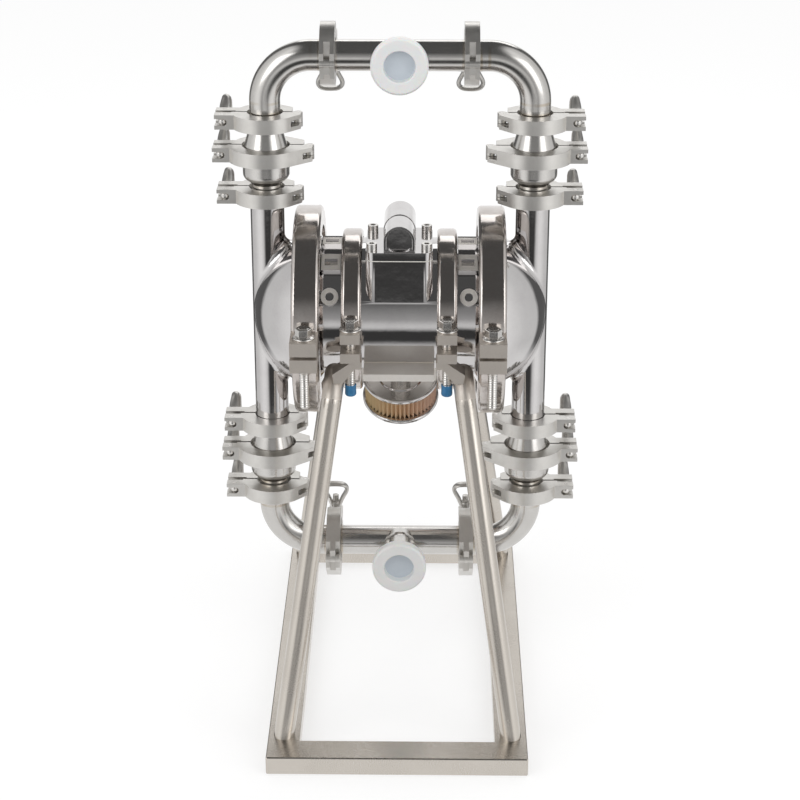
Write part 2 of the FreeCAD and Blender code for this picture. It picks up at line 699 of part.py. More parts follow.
COVER_SCREWS = [
    (x, y) for x in ("-cover_screw_x", "cover_screw_x") for y in ("-cover_screw_front", "-cover_screw_back")
]
BLOCK_TOP = "axis_height + block_top"
COVER_FOOT = BLOCK_TOP + " + cover_gasket_thick"
COVER_TOP = COVER_FOOT + " + cover_thick"


def upright(edge):
    return edge.BoundBox.ZLength > 0.5 and edge.BoundBox.XLength < 0.01 and edge.BoundBox.YLength < 0.01


def block_slab(name, low, high):
    """Slab of the valve block's outline with its rounded upright edges."""
    corners = ("-block_half", "-block_front", low), ("block_half", "block_back", high)
    return rounded(name, block(name + "_box", *corners), "block_round", upright)


def screw_holes(name, foot, depth):
    radius = "cover_screw_od / 2 + 0.1"
    return [cylinder("%s_hole_%d" % (name, index), radius, depth, (x, y, foot))
            for index, (x, y) in enumerate(COVER_SCREWS)]


def along_exhaust(distance):
    """Point on the axis of the exhaust filter, which leans back from the pump axis."""
    return ("0", "(%s) * sin(muffler_lean)" % distance, "axis_height - (%s) * cos(muffler_lean)" % distance)


FACING["exhaust"] = Rotation(AXES["x"], size("muffler_lean"))


def centre_housing():
    hub = turned("hub", [
        ("0", "-small_joint"),
        ("small_flange_od / 2", "-small_joint"),
        ("small_flange_od / 2", "-small_joint + small_flange_thick"),
        ("hub_od / 2", "-small_joint + small_flange_thick"),
        ("hub_od / 2", "small_joint - small_flange_thick"),
        ("small_flange_od / 2", "small_joint - small_flange_thick"),
        ("small_flange_od / 2", "small_joint"),
        ("0", "small_joint"),
    ], ("0", "0", "axis_height"), "+x")
    foot_front = "(main_flange_od / 2 - foot_inset)"
    foot = block("foot", ("-foot_half", "-" + foot_front, "axis_height - foot_top - foot_thick"),
                 ("foot_half", foot_front, "axis_height - foot_top"))
    outside = fuse("housing_outside", [hub, block_slab("valve_block", "axis_height", BLOCK_TOP), foot])
    hollow_half = "small_joint - small_flange_thick - hub_wall"
    hollow = turned("hollow", [
        ("shaft_tube_od / 2", "-(%s)" % hollow_half),
        ("hub_od / 2 - hub_wall", "-(%s)" % hollow_half),
        ("hub_od / 2 - hub_wall", hollow_half),
        ("shaft_tube_od / 2", hollow_half),
    ], ("0", "0", "axis_height"), "+x")
    bore = cylinder("bush_bore", "bush_od / 2 + spool_play", "2 * small_joint", ("-small_joint", "0", "axis_height"), "+x")
    outlet = cylinder("exhaust_hole", "stem_od / 2 + spool_play", "2 * hub_wall", along_exhaust("hub_od / 2 + 2"), "exhaust")
    holes = screw_holes("block", BLOCK_TOP + " - cover_screw_deep", "cover_screw_deep")
    return cut("centre_housing", outside, [hollow, bore, outlet] + holes)


node("centre_housing", centre_housing())
gasket_slab = block_slab("cover_gasket_slab", BLOCK_TOP, COVER_FOOT)
node("cover_gasket", cut("cover_gasket", gasket_slab, screw_holes("gasket", BLOCK_TOP, "cover_gasket_thick")))


# Valve cover: plate, arched barrel for the spool in front, round air socket behind

BARREL_AXIS = "%s + barrel_rise" % COVER_TOP


def barrel(name, radius, front, back):
    """Arch on the cover plate between two stations along Y."""
    return [
        cylinder(name + "_round", radius, "(%s) - (%s)" % (back, front), ("0", front, BARREL_AXIS), "+y"),
        block(name + "_legs", ("-(%s)" % radius, front, COVER_TOP), (radius, back, BARREL_AXIS)),
    ]


def valve_cover():
    slab = block_slab("cover_slab", COVER_FOOT, COVER_TOP)
    groove = "barrel_step + 2"
    solid = fuse("cover_solid", [slab]
                 + barrel("spool_barrel", "barrel_od / 2", "-barrel_front", "-(%s)" % groove)
                 + barrel("barrel_groove", "barrel_od / 2 - 1.5", "-(%s)" % groove, "-barrel_step")
                 + barrel("air_socket", "socket_od / 2", "-barrel_step", "barrel_back"))
    recess = "barrel_front - 2"
    spool_half = "(spool_long / 2 + spool_travel + 2)"
    bore = cylinder("spool_bore", "spool_od / 2", "2 * " + spool_half, ("0", "-spool_middle - " + spool_half, BARREL_AXIS), "+y")
    thread_foot = "barrel_back - inlet_deep"
    passage = "spool_middle - %s + %s" % (spool_half, thread_foot)
    arch = "barrel_od / 2 - 3"
    return cut("valve_cover", solid, [
        cylinder("front_recess", arch, "3", ("0", "-barrel_front", BARREL_AXIS), "+y"),
        block("recess_legs", ("-(%s)" % arch, "-barrel_front", COVER_TOP + " + 3"), (arch, "3 - barrel_front", BARREL_AXIS)),
        bore,
        cylinder("air_passage", "spool_od / 4", passage, ("0", "-spool_middle + " + spool_half, BARREL_AXIS), "+y"),
        cylinder("air_thread", "inlet_hole / 2", "inlet_deep", ("0", thread_foot, BARREL_AXIS), "+y"),
    ] + screw_holes("cover", COVER_FOOT, "cover_thick"))


node("valve_cover", valve_cover())
spool_foot = ("0", "-spool_middle - spool_long / 2", BARREL_AXIS)
node("valve_spool", cylinder("valve_spool", "spool_od / 2 - spool_play", "spool_long", spool_foot, "+y"))


def cover_screw(index, x, y):
    shank = cylinder("cover_shank_%d" % index, "cover_screw_od / 2", "cover_thick + cover_gasket_thick + 12",
                     (x, y, BLOCK_TOP + " - 12"))
    head = cylinder("cover_head_%d" % index, "cover_head_od / 2", "cover_head_high", (x, y, COVER_TOP))
    key = hexagon("cover_key_%d" % index, "cover_screw_od * 0.75", "cover_head_high",
                  (x, y, COVER_TOP + " + cover_head_high / 2"))
    return cut("cover_screw_%d" % index, fuse("cover_screw_solid_%d" % index, [shank, head]), [key])


node("cover_screws", [cover_screw(index, x, y) for index, (x, y) in enumerate(COVER_SCREWS)])


# Exhaust filter: pipe, two pressed caps and a pleated paper ring between them

PAPER_TOP = "muffler_top + muffler_cap"
PAPER_FOOT = PAPER_TOP + " + pleat_high"
stem_long = PAPER_FOOT + " - hub_od / 2 + hub_wall"
stem = turned("exhaust_pipe", [
    ("stem_od / 2 - stem_wall", "0"),
    ("stem_od / 2", "0"),
    ("stem_od / 2", stem_long),
    ("stem_od / 2 - stem_wall", stem_long),
], along_exhaust(PAPER_FOOT), "exhaust")
node("exhaust_pipe", stem)
filter_top = turned("filter_top", [
    ("stem_od / 2 + spool_play", "0"),
    ("muffler_od / 2 - 1.5", "0"),
    ("muffler_od / 2", "1.5"),
    ("muffler_od / 2", "muffler_cap - 1"),
    ("muffler_od / 2 - 1", "muffler_cap"),
    ("muffler_od / 2 - 4", "muffler_cap"),
    ("muffler_od / 2 - 5", "muffler_cap - 3"),
    ("muffler_od / 3.4", "muffler_cap - 3"),
    ("muffler_od / 3.6", "muffler_cap - 1"),
    ("stem_od / 2 + spool_play", "muffler_cap - 1"),
], along_exhaust(PAPER_TOP), "exhaust")
filter_bottom = turned("filter_bottom", [
    ("0", "0"),
    ("muffler_od / 2 - 1", "0"),
    ("muffler_od / 2", "1"),
    ("muffler_od / 2", "muffler_cap - 1.5"),
    ("muffler_od / 2 - 1.5", "muffler_cap"),
    ("0", "muffler_cap"),
], along_exhaust(PAPER_FOOT + " + muffler_cap"), "exhaust")
node("filter_caps", [filter_top, filter_bottom])

PLEATS = 48


def pleated_paper():
    """Star-shaped ring whose folds run along the filter's axis."""
    def star(outer):
        corners = []
        for step in range(2 * PLEATS):
            radius = outer - (step % 2) * size("pleat_deep")
            angle = math.pi * step / PLEATS
            corners.append(Vector(radius * math.cos(angle), radius * math.sin(angle), 0))
        return Part.makePolygon(corners + corners[:1])

    outer = size("muffler_od / 2 - 3")
    face = Part.Face(star(outer)).cut(Part.Face(star(outer - size("paper_thick")))).Faces[0]
    paper = doc.addObject("Part::Feature", "filter_paper")
    paper.Shape = face.extrude(Vector(0, 0, size("pleat_high")))
    return place(paper, along_exhaust(PAPER_FOOT), FACING["exhaust"])


node("filter_paper", pleated_paper())


# Bands: two half rings with a groove over a pair of flanges and bolted lugs front and back

def band(kind, flange_thick, joint_gap):
    """kind names the family of sizes: main or small."""
    names = {key: kind + "_" + key for key in (
        "joint", "band_od", "band_wide", "lip_od", "flange_od", "lug_front", "lug_high", "lug_gap")}
    low = "{joint} - {band_wide} / 2".format(**names)
    high = "{joint} + {band_wide} / 2".format(**names)
    ring = cylinder(kind + "_ring", "{band_od} / 2".format(**names), names["band_wide"], (low, "0", "0"), "+x")
    ring = rounded(kind + "_ring_round", ring, "band_round", lambda edge: edge.BoundBox.XLength < 0.01)
    lugs = block(kind + "_lugs", (low + " + 0.5", "-{lug_front}".format(**names), "-{lug_high}".format(**names)),
                 (high + " - 0.5", names["lug_front"], names["lug_high"]))
    groove = "(%s / 2 + %s + clamp_play)" % (joint_gap, flange_thick)
    lip, deep = "{lip_od} / 2".format(**names), "{flange_od} / 2 + clamp_play".format(**names)
    core = turned(kind + "_core", [
        ("0", low + " - 1"),
        (lip, low + " - 1"),
        (lip, "%s - %s" % (names["joint"], groove)),
        (deep, "%s - %s" % (names["joint"], groove)),
        (deep, "%s + %s" % (names["joint"], groove)),
        (lip, "%s + %s" % (names["joint"], groove)),
        (lip, high + " + 1"),
        ("0", high + " + 1"),
    ], MIDDLE, "+x")
    split = block(kind + "_split", (low + " - 1", "-{lug_front} - 1".format(**names), "-{lug_gap} / 2".format(**names)),
                  (high + " + 1", "{lug_front} + 1".format(**names), "{lug_gap} / 2".format(**names)))
    holes = [
        cylinder("%s_bolt_hole_%s" % (kind, end), "(band_bolt_od + band_bolt_play) / 2", "2 * {lug_high} + 2".format(**names),
                 (names["joint"], sign + "(%s)" % BOLT_LINE[kind], "-{lug_high} - 1".format(**names)))
        for end, sign in ENDS
    ]
    return cut(kind + "_band", fuse(kind + "_band_solid", [ring, lugs]), [core, split] + holes)


ENDS = (("front", "-"), ("back", ""))
BOLT_LINE = {kind: "(%s_band_od / 2 + %s_lug_front) / 2" % (kind, kind) for kind in ("main", "small")}
main_band = band("main", "main_flange_thick", "diaphragm_thick")
small_band = band("small", "small_flange_thick", "0")
for side, reach, turn in SIDES:
    at = ("0", "0", "axis_height")
    node("main_band_" + side, [copy("main_band_at_" + side, main_band, at, turn)])
    node("small_band_" + side, [copy("small_band_at_" + side, small_band, at, turn)])


def band_bolt(kind, side, reach_sign, end, end_sign):
    """Flanged hexagon bolt hanging down through a pair of lugs."""
    x = "%s%s_joint" % (reach_sign, kind)
    y = "%s(%s)" % (end_sign, BOLT_LINE[kind])
    label = "%s_bolt_%s_%s" % (kind, side, end)
    seat = "axis_height + %s_lug_high" % kind
    tip = "axis_height - %s_bolt_end" % kind
    return fuse(label, [
        cylinder(label + "_shank", "band_bolt_od / 2", "%s - (%s)" % (seat, tip), (x, y, tip)),
        cylinder(label + "_face", "head_flange_od / 2", "head_flange", (x, y, seat)),
        hexagon(label + "_head", "head_across", "head_thick", (x, y, seat + " + head_flange")),
    ])


for kind in ("main", "small"):
    node(kind + "_band_bolts", [
        band_bolt(kind, side, reach_sign, end, end_sign)
        for side, reach_sign in (("right", ""), ("left", "-")) for end, end_sign in ENDS
    ])

bolt_cap = turned("bolt_cap", [
    ("0", "0"),
    ("end_cap_od / 2 - 2", "0"),
    ("end_cap_od / 2", "2"),
    ("end_cap_od / 2", "end_cap_high"),
    ("band_bolt_od / 2 + 0.05", "end_cap_high"),
    ("band_bolt_od / 2 + 0.05", "2"),
    ("0", "2"),
])
node("bolt_end_caps", [
    copy("bolt_cap_%s_%s" % (side, end), bolt_cap,
         (sign + "small_joint", "%s(%s)" % (end_sign, BOLT_LINE["small"]), "axis_height - small_bolt_end - 2"))
    for side, sign in (("right", ""), ("left", "-")) for end, end_sign in ENDS
])


# Tube clamps, modelled about a tube along Z: split plane XZ, swing bolt at +X, hinge at -X

def clamp(kind, ring_od, ferrule_sizes, ear_reach, hinge_reach):
    """Front half, back half, swing bolt, pins and loop nut of one clamp."""
    rim, root = ferrule_sizes
    ring = ring_od + " / 2"
    height = "clamp_height / 2"
    bolt_x = "%s + %s" % (ring, ear_reach)
    hinge_x = "-(%s + %s)" % (ring, hinge_reach)
    lip = root + " / 2 + clamp_play"
    rim_edge = "gasket / 2 + rim_thick + clamp_play"
    back_edge = rim_edge + " + (%s - %s) / 2 * taper" % (rim, root)
    eye_y = "-(ear_front + ear_gap) / 2"
    slot = "bolt_od / 2 + 0.3"
    eye_radius = "(ear_front / 2 - ear_gap / 2 - 2)"
    tongue = "tongue / 2"
    hinge_end = "(%s + %s + knuckle_od / 3)" % (ring, hinge_reach)

    def core(part):
        return turned(kind + part + "_core", [
            ("0", "-clamp_height"),
            (lip, "-clamp_height"),
            (lip, "-(%s)" % back_edge),
            (rim + " / 2 + clamp_play", "-(%s)" % rim_edge),
            (rim + " / 2 + clamp_play", rim_edge),
            (lip, back_edge),
            (lip, "clamp_height"),
            ("0", "clamp_height"),
        ])

    def half(part, sign, near, far, knuckles, gaps):
        """One half: sign is - for the front, knuckles and gaps are stretches along Z."""
        label = kind + part
        bow = "(%s + front_bow)" % ring if sign == "-" else ring
        touch = "(atan(hinge_half / %s) + acos(%s / sqrt(%s^2 + hinge_half^2)))" % (hinge_end, bow, hinge_end)
        disc = cylinder(label + "_disc", bow, "clamp_height", ("0", "0", "-" + height))
        low_y, high_y = ("-" + far, "-" + near) if sign == "-" else (near, far)
        ear = block(label + "_ear", (ring + " - 9", low_y, "-" + height), (bolt_x + " + ear_round", high_y, height))
        web = plate(label + "_web", "XY_Plane", [
            ("0", sign + "1"),
            ("-%s * cos(%s)" % (bow, touch), "%s%s * sin(%s)" % (sign, bow, touch)),
            ("-" + hinge_end, sign + "hinge_half"),
            ("-" + hinge_end, sign + "1"),
        ], "clamp_height")
        other = ("-clamp_split / 2", "80") if sign == "-" else ("-80", "clamp_split / 2")
        slot_end = "%s - %s - 0.9 + %s" % (bolt_x, eye_radius if sign == "-" else slot, slot)
        side = ("-80", "0") if sign == "-" else ("0", "80")
        trimmed = cut(label + "_body", fuse(label + "_solid", [disc, ear, web]), [
            core(part),
            block(label + "_other", ("-100", other[0], "-clamp_height"), ("100", other[1], "clamp_height")),
            block(label + "_slot", (slot_end, "-80", "-(%s)" % slot), ("100", "80", slot)),
            cylinder(label + "_slot_end", slot, "160", (slot_end, "-80", "0"), "+y"),
        ] + [
            cylinder("%s_gap_%d" % (label, index), "knuckle_od / 2 + 0.4", "(%s) - (%s)" % (top, foot), (hinge_x, "0", foot))
            for index, (foot, top) in enumerate(gaps)
        ] + [
            block("%s_fork_%d" % (label, index), ("-100", side[0], foot), (hinge_x + " + knuckle_od / 2 + 2", side[1], top))
            for index, (foot, top) in enumerate(gaps)
        ])
        barrels = [
            cylinder("%s_knuckle_%d" % (label, index), "knuckle_od / 2", "(%s) - (%s)" % (top, foot), (hinge_x, "0", foot))
            for index, (foot, top) in enumerate(knuckles)
        ]
        pin_holes = [cylinder(label + "_hinge_hole", "pin_od / 2 + 0.05", "2 * clamp_height", (hinge_x, "0", "-clamp_height"))]
        if sign == "-":
            pin_holes.append(cylinder(label + "_eye_hole", "pin_od / 2 + 0.05", "2 * clamp_height", (bolt_x, eye_y, "-clamp_height")))
        return cut(label, fuse(label + "_joined", [trimmed] + barrels), pin_holes)

    outer = [("-" + height, "-(%s) - 0.2" % tongue), (tongue + " + 0.2", height)]
    middle = [("-(%s)" % tongue, tongue)]
    wide_middle = [("-(%s) - 0.2" % tongue, tongue + " + 0.2")]
    wide_outer = [("-clamp_height", "-(%s)" % tongue), (tongue, "clamp_height")]
    front = half("_front", "-", "ear_gap", "ear_front", outer, wide_middle)
    back = half("_back", "", "ear_gap", "ear_back", middle, wide_outer)
    eye_disc = cylinder(kind + "_eye_disc", eye_radius, "bolt_od - 1.4", (bolt_x, eye_y, "-bolt_od / 2 + 0.7"))
    eye = common(kind + "_eye", eye_disc, sphere(kind + "_eye_ball", eye_radius + " + 0.2", (bolt_x, eye_y, "0")))
    shank = cylinder(kind + "_shank", "bolt_od / 2", "bolt_end - (%s)" % eye_y, (bolt_x, eye_y, "0"), "+y")
    eye_hole = cylinder(kind + "_eye_bore", "pin_od / 2 + 0.05", "bolt_od + 2", (bolt_x, eye_y, "-bolt_od / 2 - 1"))
    bolt = cut(kind + "_bolt", fuse(kind + "_bolt_solid", [eye, shank]), [eye_hole])
    pins = [
        cylinder(kind + "_hinge_pin", "pin_od / 2", "clamp_height", (hinge_x, "0", "-" + height)),
        cylinder(kind + "_eye_pin", "pin_od / 2", "clamp_height", (bolt_x, eye_y, "-" + height)),
    ]
    return {"halves": [front, back], "bolts": [bolt] + pins, "nut": loop_nut(kind, bolt_x)}


def loop_nut(kind, bolt_x):
    """Round hub on the swing bolt with a closed loop to turn it by."""
    foot = "ear_back + seat_gap"
    wide = "nut_width / 2"
    hub = cylinder(kind + "_hub", "nut_hub / 2", "nut_hub_long", (bolt_x, foot, "0"), "+y")
    outer = plate(kind + "_loop", "YZ_Plane", [
        (foot + " + 3", "-nut_hub / 2 + 1"),
        ("nut_reach - 14", "-(%s)" % wide),
        ("nut_reach - 5", "-(%s) + 1" % wide),
        ("nut_reach", "-(%s) + 8" % wide),
        ("nut_reach", "%s - 8" % wide),
        ("nut_reach - 5", "%s - 1" % wide),
        ("nut_reach - 14", wide),
        (foot + " + 3", "nut_hub / 2 - 1"),
    ], "nut_bar + 1.5", (bolt_x, "0", "0"))
    window = plate(kind + "_window", "YZ_Plane", [
        (foot + " + nut_hub_long", "-nut_hub / 2 + 3"),
        ("nut_reach - 14", "-(%s) + nut_bar" % wide),
        ("nut_reach - nut_bar", "-(%s) + nut_bar + 5" % wide),
        ("nut_reach - nut_bar", "%s - nut_bar - 5" % wide),
        ("nut_reach - 14", "%s - nut_bar" % wide),
        (foot + " + nut_hub_long", "nut_hub / 2 - 3"),
    ], "nut_hub", (bolt_x, "0", "0"))
    loop = cut(kind + "_open_loop", outer, [window])
    bore = cylinder(kind + "_nut_bore", "bolt_od / 2 + spool_play", "nut_reach", (bolt_x, "0", "0"), "+y")
    short_bore = common(kind + "_nut_thread", bore, block(kind + "_nut_end", ("0", "0", "-nut_hub"), ("100", foot + " + nut_hub_long + 9", "nut_hub")))
    return cut(kind + "_nut", fuse(kind + "_nut_solid", [hub, loop]), [short_bore])


small_clamp = clamp("small_clamp", "clamp_od", SMALL, "ear_reach", "hinge_reach")
wide_clamp = clamp("wide_clamp", "wide_clamp_od", WIDE, "wide_ear_reach", "wide_hinge_reach")

STACK_LEVELS = [
    ("top", small_clamp, OUTLET_TOP),
    ("outlet_ball", wide_clamp, OUTLET_SEAT + " + cup_rise"),
    ("upper_riser", small_clamp, OUTLET_SEAT),
    ("lower_riser", small_clamp, "axis_height - riser_half"),
    ("inlet_ball", wide_clamp, INLET_SEAT + " + cup_rise"),
    ("bottom", small_clamp, INLET_SEAT),
]
TURNED_IN = Rotation(AXES["y"], 180)
NUT_DOWN = Rotation(AXES["y"], -AXES["z"], -AXES["x"])
NUT_UP = Rotation(AXES["y"], AXES["z"], AXES["x"])
places = {"right_stack": [], "left_stack": [], "manifold": []}
for level, source, up in STACK_LEVELS:
    places["right_stack"].append((level + "_right", source, (RIGHT, "0", up), Rotation()))
    places["left_stack"].append((level + "_left", source, (LEFT, "0", up), TURNED_IN))
for side, x in (("right", "manifold_half"), ("left", "-manifold_half")):
    places["manifold"].append(("outlet_manifold_" + side, small_clamp, (x, "0", OUTLET_AXIS), NUT_DOWN))
    places["manifold"].append(("inlet_manifold_" + side, wide_clamp, (x, "0", INLET_AXIS), NUT_UP))

clamp_bolts = []
for group, members in places.items():
    halves = []
    for label, source, at, turn in members:
        halves += [copy("%s_half_%d" % (label, index), piece, at, turn) for index, piece in enumerate(source["halves"])]
        clamp_bolts += [copy("%s_bolt_%d" % (label, index), piece, at, turn) for index, piece in enumerate(source["bolts"])]
        node("nut_" + label, [copy("nut_at_" + label, source["nut"], at, turn)])
    node(group + "_clamps", halves)
node("clamp_bolts", clamp_bolts)


# Ferrule gaskets

def ring_gasket(name, bore, rim):
    return turned(name, [
        (bore, "-gasket / 2"),
        (rim + " / 2", "-gasket / 2"),
        (rim + " / 2", "gasket / 2"),
        (bore, "gasket / 2"),
    ])


tube_gasket = ring_gasket("tube_gasket", TUBE_BORE, "joint_rim_od")
valve_gasket = ring_gasket("valve_gasket", CUP_BORE, "wide_rim_od")
inlet_gasket = ring_gasket("inlet_gasket", PORT_BORE, "wide_rim_od")
gaskets = []
for label, source, at, turn in sum(places.values(), []):
    ring = tube_gasket if source is small_clamp else valve_gasket
    if label.startswith("inlet_manifold"):
        ring = inlet_gasket
    gaskets.append(copy("gasket_" + label, ring, at, turn))
node("ferrule_gaskets", gaskets)


# Stand: flat base frame of rectangular tube and four legs with their brackets

base = block("base_outline", ("-base_half_width", "-base_half_depth", "0"), ("base_half_width", "base_half_depth", "rail_high"))
base = rounded("base_round", base, "rail_round", lambda edge: True)
base_opening = block("base_opening", ("-base_half_width + rail_wide", "-base_half_depth + rail_wide", "-1"),
                     ("base_half_width - rail_wide", "base_half_depth - rail_wide", "rail_high + 1"))
node("base_frame", cut("base_frame", base, [base_opening]))

FOOT_HALF = "(base_half_width - rail_wide / 2)"
LEG_RISE = "(axis_height - leg_top_drop - rail_high)"
LEG_LEAN = "atan((%s - leg_top_half) / %s)" % (FOOT_HALF, LEG_RISE)
LEG_LENGTH = "(%s / cos(%s))" % (LEG_RISE, LEG_LEAN)
LEG_SPLAY = "atan((leg_foot_depth - leg_top_depth) / %s)" % LEG_LENGTH
BEND_ANGLE = "(90 deg - %s)" % LEG_SPLAY
BEND_START = "(leg_bend * tan(%s / 2))" % BEND_ANGLE
OVERRUN = "leg_od"


def leg(end, sign):
    """Tube from the base that bends in under its bracket, about the line of the four upper ends."""
    way = -AXES["y"] if sign == "-" else AXES["y"]
    start = "leg_top_depth - %s" % BEND_START
    slope = "%s / cos(%s) + %s" % (LEG_LENGTH, LEG_SPLAY, OVERRUN)
    straight = cylinder("leg_" + end, "leg_od / 2", "%s - %s" % (slope, BEND_START))
    foot = ("0", "%s(leg_top_depth + sin(%s) * (%s))" % (sign, LEG_SPLAY, slope), "-cos(%s) * (%s)" % (LEG_SPLAY, slope))
    place(straight, foot, Rotation(way.cross(AXES["z"]), 10))
    straight.setExpression("Placement.Rotation.Angle", bound(LEG_SPLAY))
    centre = ("0", "%s(%s)" % (sign, start), "-leg_bend")
    tube = fuse("leg_%s_tube" % end, [
        straight,
        bend("leg_%s_bend" % end, "leg_bend", "leg_od / 2", BEND_ANGLE, centre,
             Rotation(AXES["z"], way, AXES["z"].cross(way))),
        cylinder("leg_%s_top" % end, "leg_od / 2", "%s - leg_end" % start, ("0", "%s(%s)" % (sign, start), "0"),
                 "+y" if sign == "-" else "-y"),
    ])
    place(tube, ("leg_top_half", "0", "axis_height - leg_top_drop"), Rotation(-AXES["y"], 8))
    tube.setExpression("Placement.Rotation.Angle", bound(LEG_LEAN))
    floor = block("leg_%s_floor" % end, ("0", "-2 * base_half_depth", "-100"),
                  ("2 * base_half_width", "2 * base_half_depth", "rail_high"))
    return cut("leg_%s_cut" % end, tube, [floor])


def bracket(end, sign):
    """Bent plate that carries a small lug on a leg, with the lug's bolt through it."""
    top, foot = "-small_lug_high", "-small_lug_high - bracket_thick"
    run = "-leg_top_drop"
    y = "%s(%s)" % (sign, BOLT_LINE["small"])
    body = plate("bracket_%s_plate" % end, "XZ_Plane", [
        ("bracket_inner", top),
        ("bracket_bend", top),
        ("leg_top_half + 2", run + " + leg_od / 2 - 1"),
        ("leg_top_half", run),
        ("leg_top_half - leg_od / 2 + 2", run),
        ("bracket_bend - 3", foot),
        ("bracket_inner", foot),
    ], "bracket_deep", ("0", y, "axis_height"))
    hole = cylinder("bracket_%s_hole" % end, "(band_bolt_od + band_bolt_play) / 2", "60", ("small_joint", y, "axis_height - 60"))
    return cut("bracket_" + end, body, [hole])


legs = [fuse("leg_%s_bracket" % end, [leg(end, sign), bracket(end, sign)]) for end, sign in ENDS]
for side, reach, turn in SIDES:
    node("legs_" + side, [copy("%s_%s" % (piece.Name, side), piece, MIDDLE, turn) for piece in legs])


# Export

doc.recompute()
failed = [piece.Name for piece in doc.Objects if "Invalid" in piece.State or "Error" in piece.State]
if failed:
    raise RuntimeError("objects that failed: " + ", ".join(failed))
for piece in NODES:
    if piece.Shape.isNull() or not piece.Shape.isValid():
        raise RuntimeError("bad shape: " + piece.Label)

os.makedirs("parts", exist_ok=True)
for piece in NODES:
    piece.Shape.exportStep("parts/%s.step" % piece.Label)
    print("%-28s %2d solid(s) %10.0f mm3" % (piece.Label, len(piece.Shape.Solids), piece.Shape.Volume))
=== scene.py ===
import json
import math

import bmesh
import bpy
from mathutils import Matrix, Vector

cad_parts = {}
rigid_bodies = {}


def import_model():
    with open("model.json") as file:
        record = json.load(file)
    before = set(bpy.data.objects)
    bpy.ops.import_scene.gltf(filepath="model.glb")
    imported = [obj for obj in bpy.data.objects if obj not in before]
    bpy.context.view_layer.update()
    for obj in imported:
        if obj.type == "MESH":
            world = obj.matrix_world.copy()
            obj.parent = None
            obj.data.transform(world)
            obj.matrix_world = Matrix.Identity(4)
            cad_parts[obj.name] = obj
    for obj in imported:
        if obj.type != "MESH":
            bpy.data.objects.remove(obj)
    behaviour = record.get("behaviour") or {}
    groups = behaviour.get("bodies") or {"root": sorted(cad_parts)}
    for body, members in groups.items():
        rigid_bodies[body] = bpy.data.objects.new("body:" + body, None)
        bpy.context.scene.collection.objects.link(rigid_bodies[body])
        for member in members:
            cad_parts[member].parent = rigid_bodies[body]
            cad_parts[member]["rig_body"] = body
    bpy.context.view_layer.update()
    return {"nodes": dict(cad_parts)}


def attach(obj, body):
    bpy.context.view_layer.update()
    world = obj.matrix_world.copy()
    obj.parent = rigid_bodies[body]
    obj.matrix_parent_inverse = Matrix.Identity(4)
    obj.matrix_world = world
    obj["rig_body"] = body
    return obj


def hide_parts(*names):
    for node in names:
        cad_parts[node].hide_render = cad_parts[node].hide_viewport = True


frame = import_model()
nodes = frame["nodes"]
print("frame loaded:", len(nodes), "nodes")

mm = 0.001
axisHeight = 499.5  # pump axis over the floor, in mm like the sizes below
stackReach = 165  # pump middle to the valve stacks
manifoldLevels = {"outlet": axisHeight + 327.5, "inlet": axisHeight - 327.5}


# Materials

def hexColor(text):
    parts = [int(text[i:i + 2], 16) / 255 for i in (1, 3, 5)]
    linear = [c / 12.92 if c <= 0.04045 else ((c + 0.055) / 1.055) ** 2.4 for c in parts]
    return (*linear, 1)


def addNode(material, kind, settings=None, links=None):
    tree = material.node_tree
    node = tree.nodes.new(kind)
    for name, value in (settings or {}).items():
        if isinstance(name, int) or name in node.inputs:
            node.inputs[name].default_value = value
        else:
            setattr(node, name, value)
    for name, source in (links or {}).items():
        tree.links.new(source, node.inputs[name])
    return node


def newMaterial(name):
    material = bpy.data.materials.new(name)
    material.use_nodes = True
    material.node_tree.nodes.clear()
    return material


def finishMaterial(material, shader):
    output = addNode(material, "ShaderNodeOutputMaterial")
    material.node_tree.links.new(shader.outputs[0], output.inputs["Surface"])
    return material


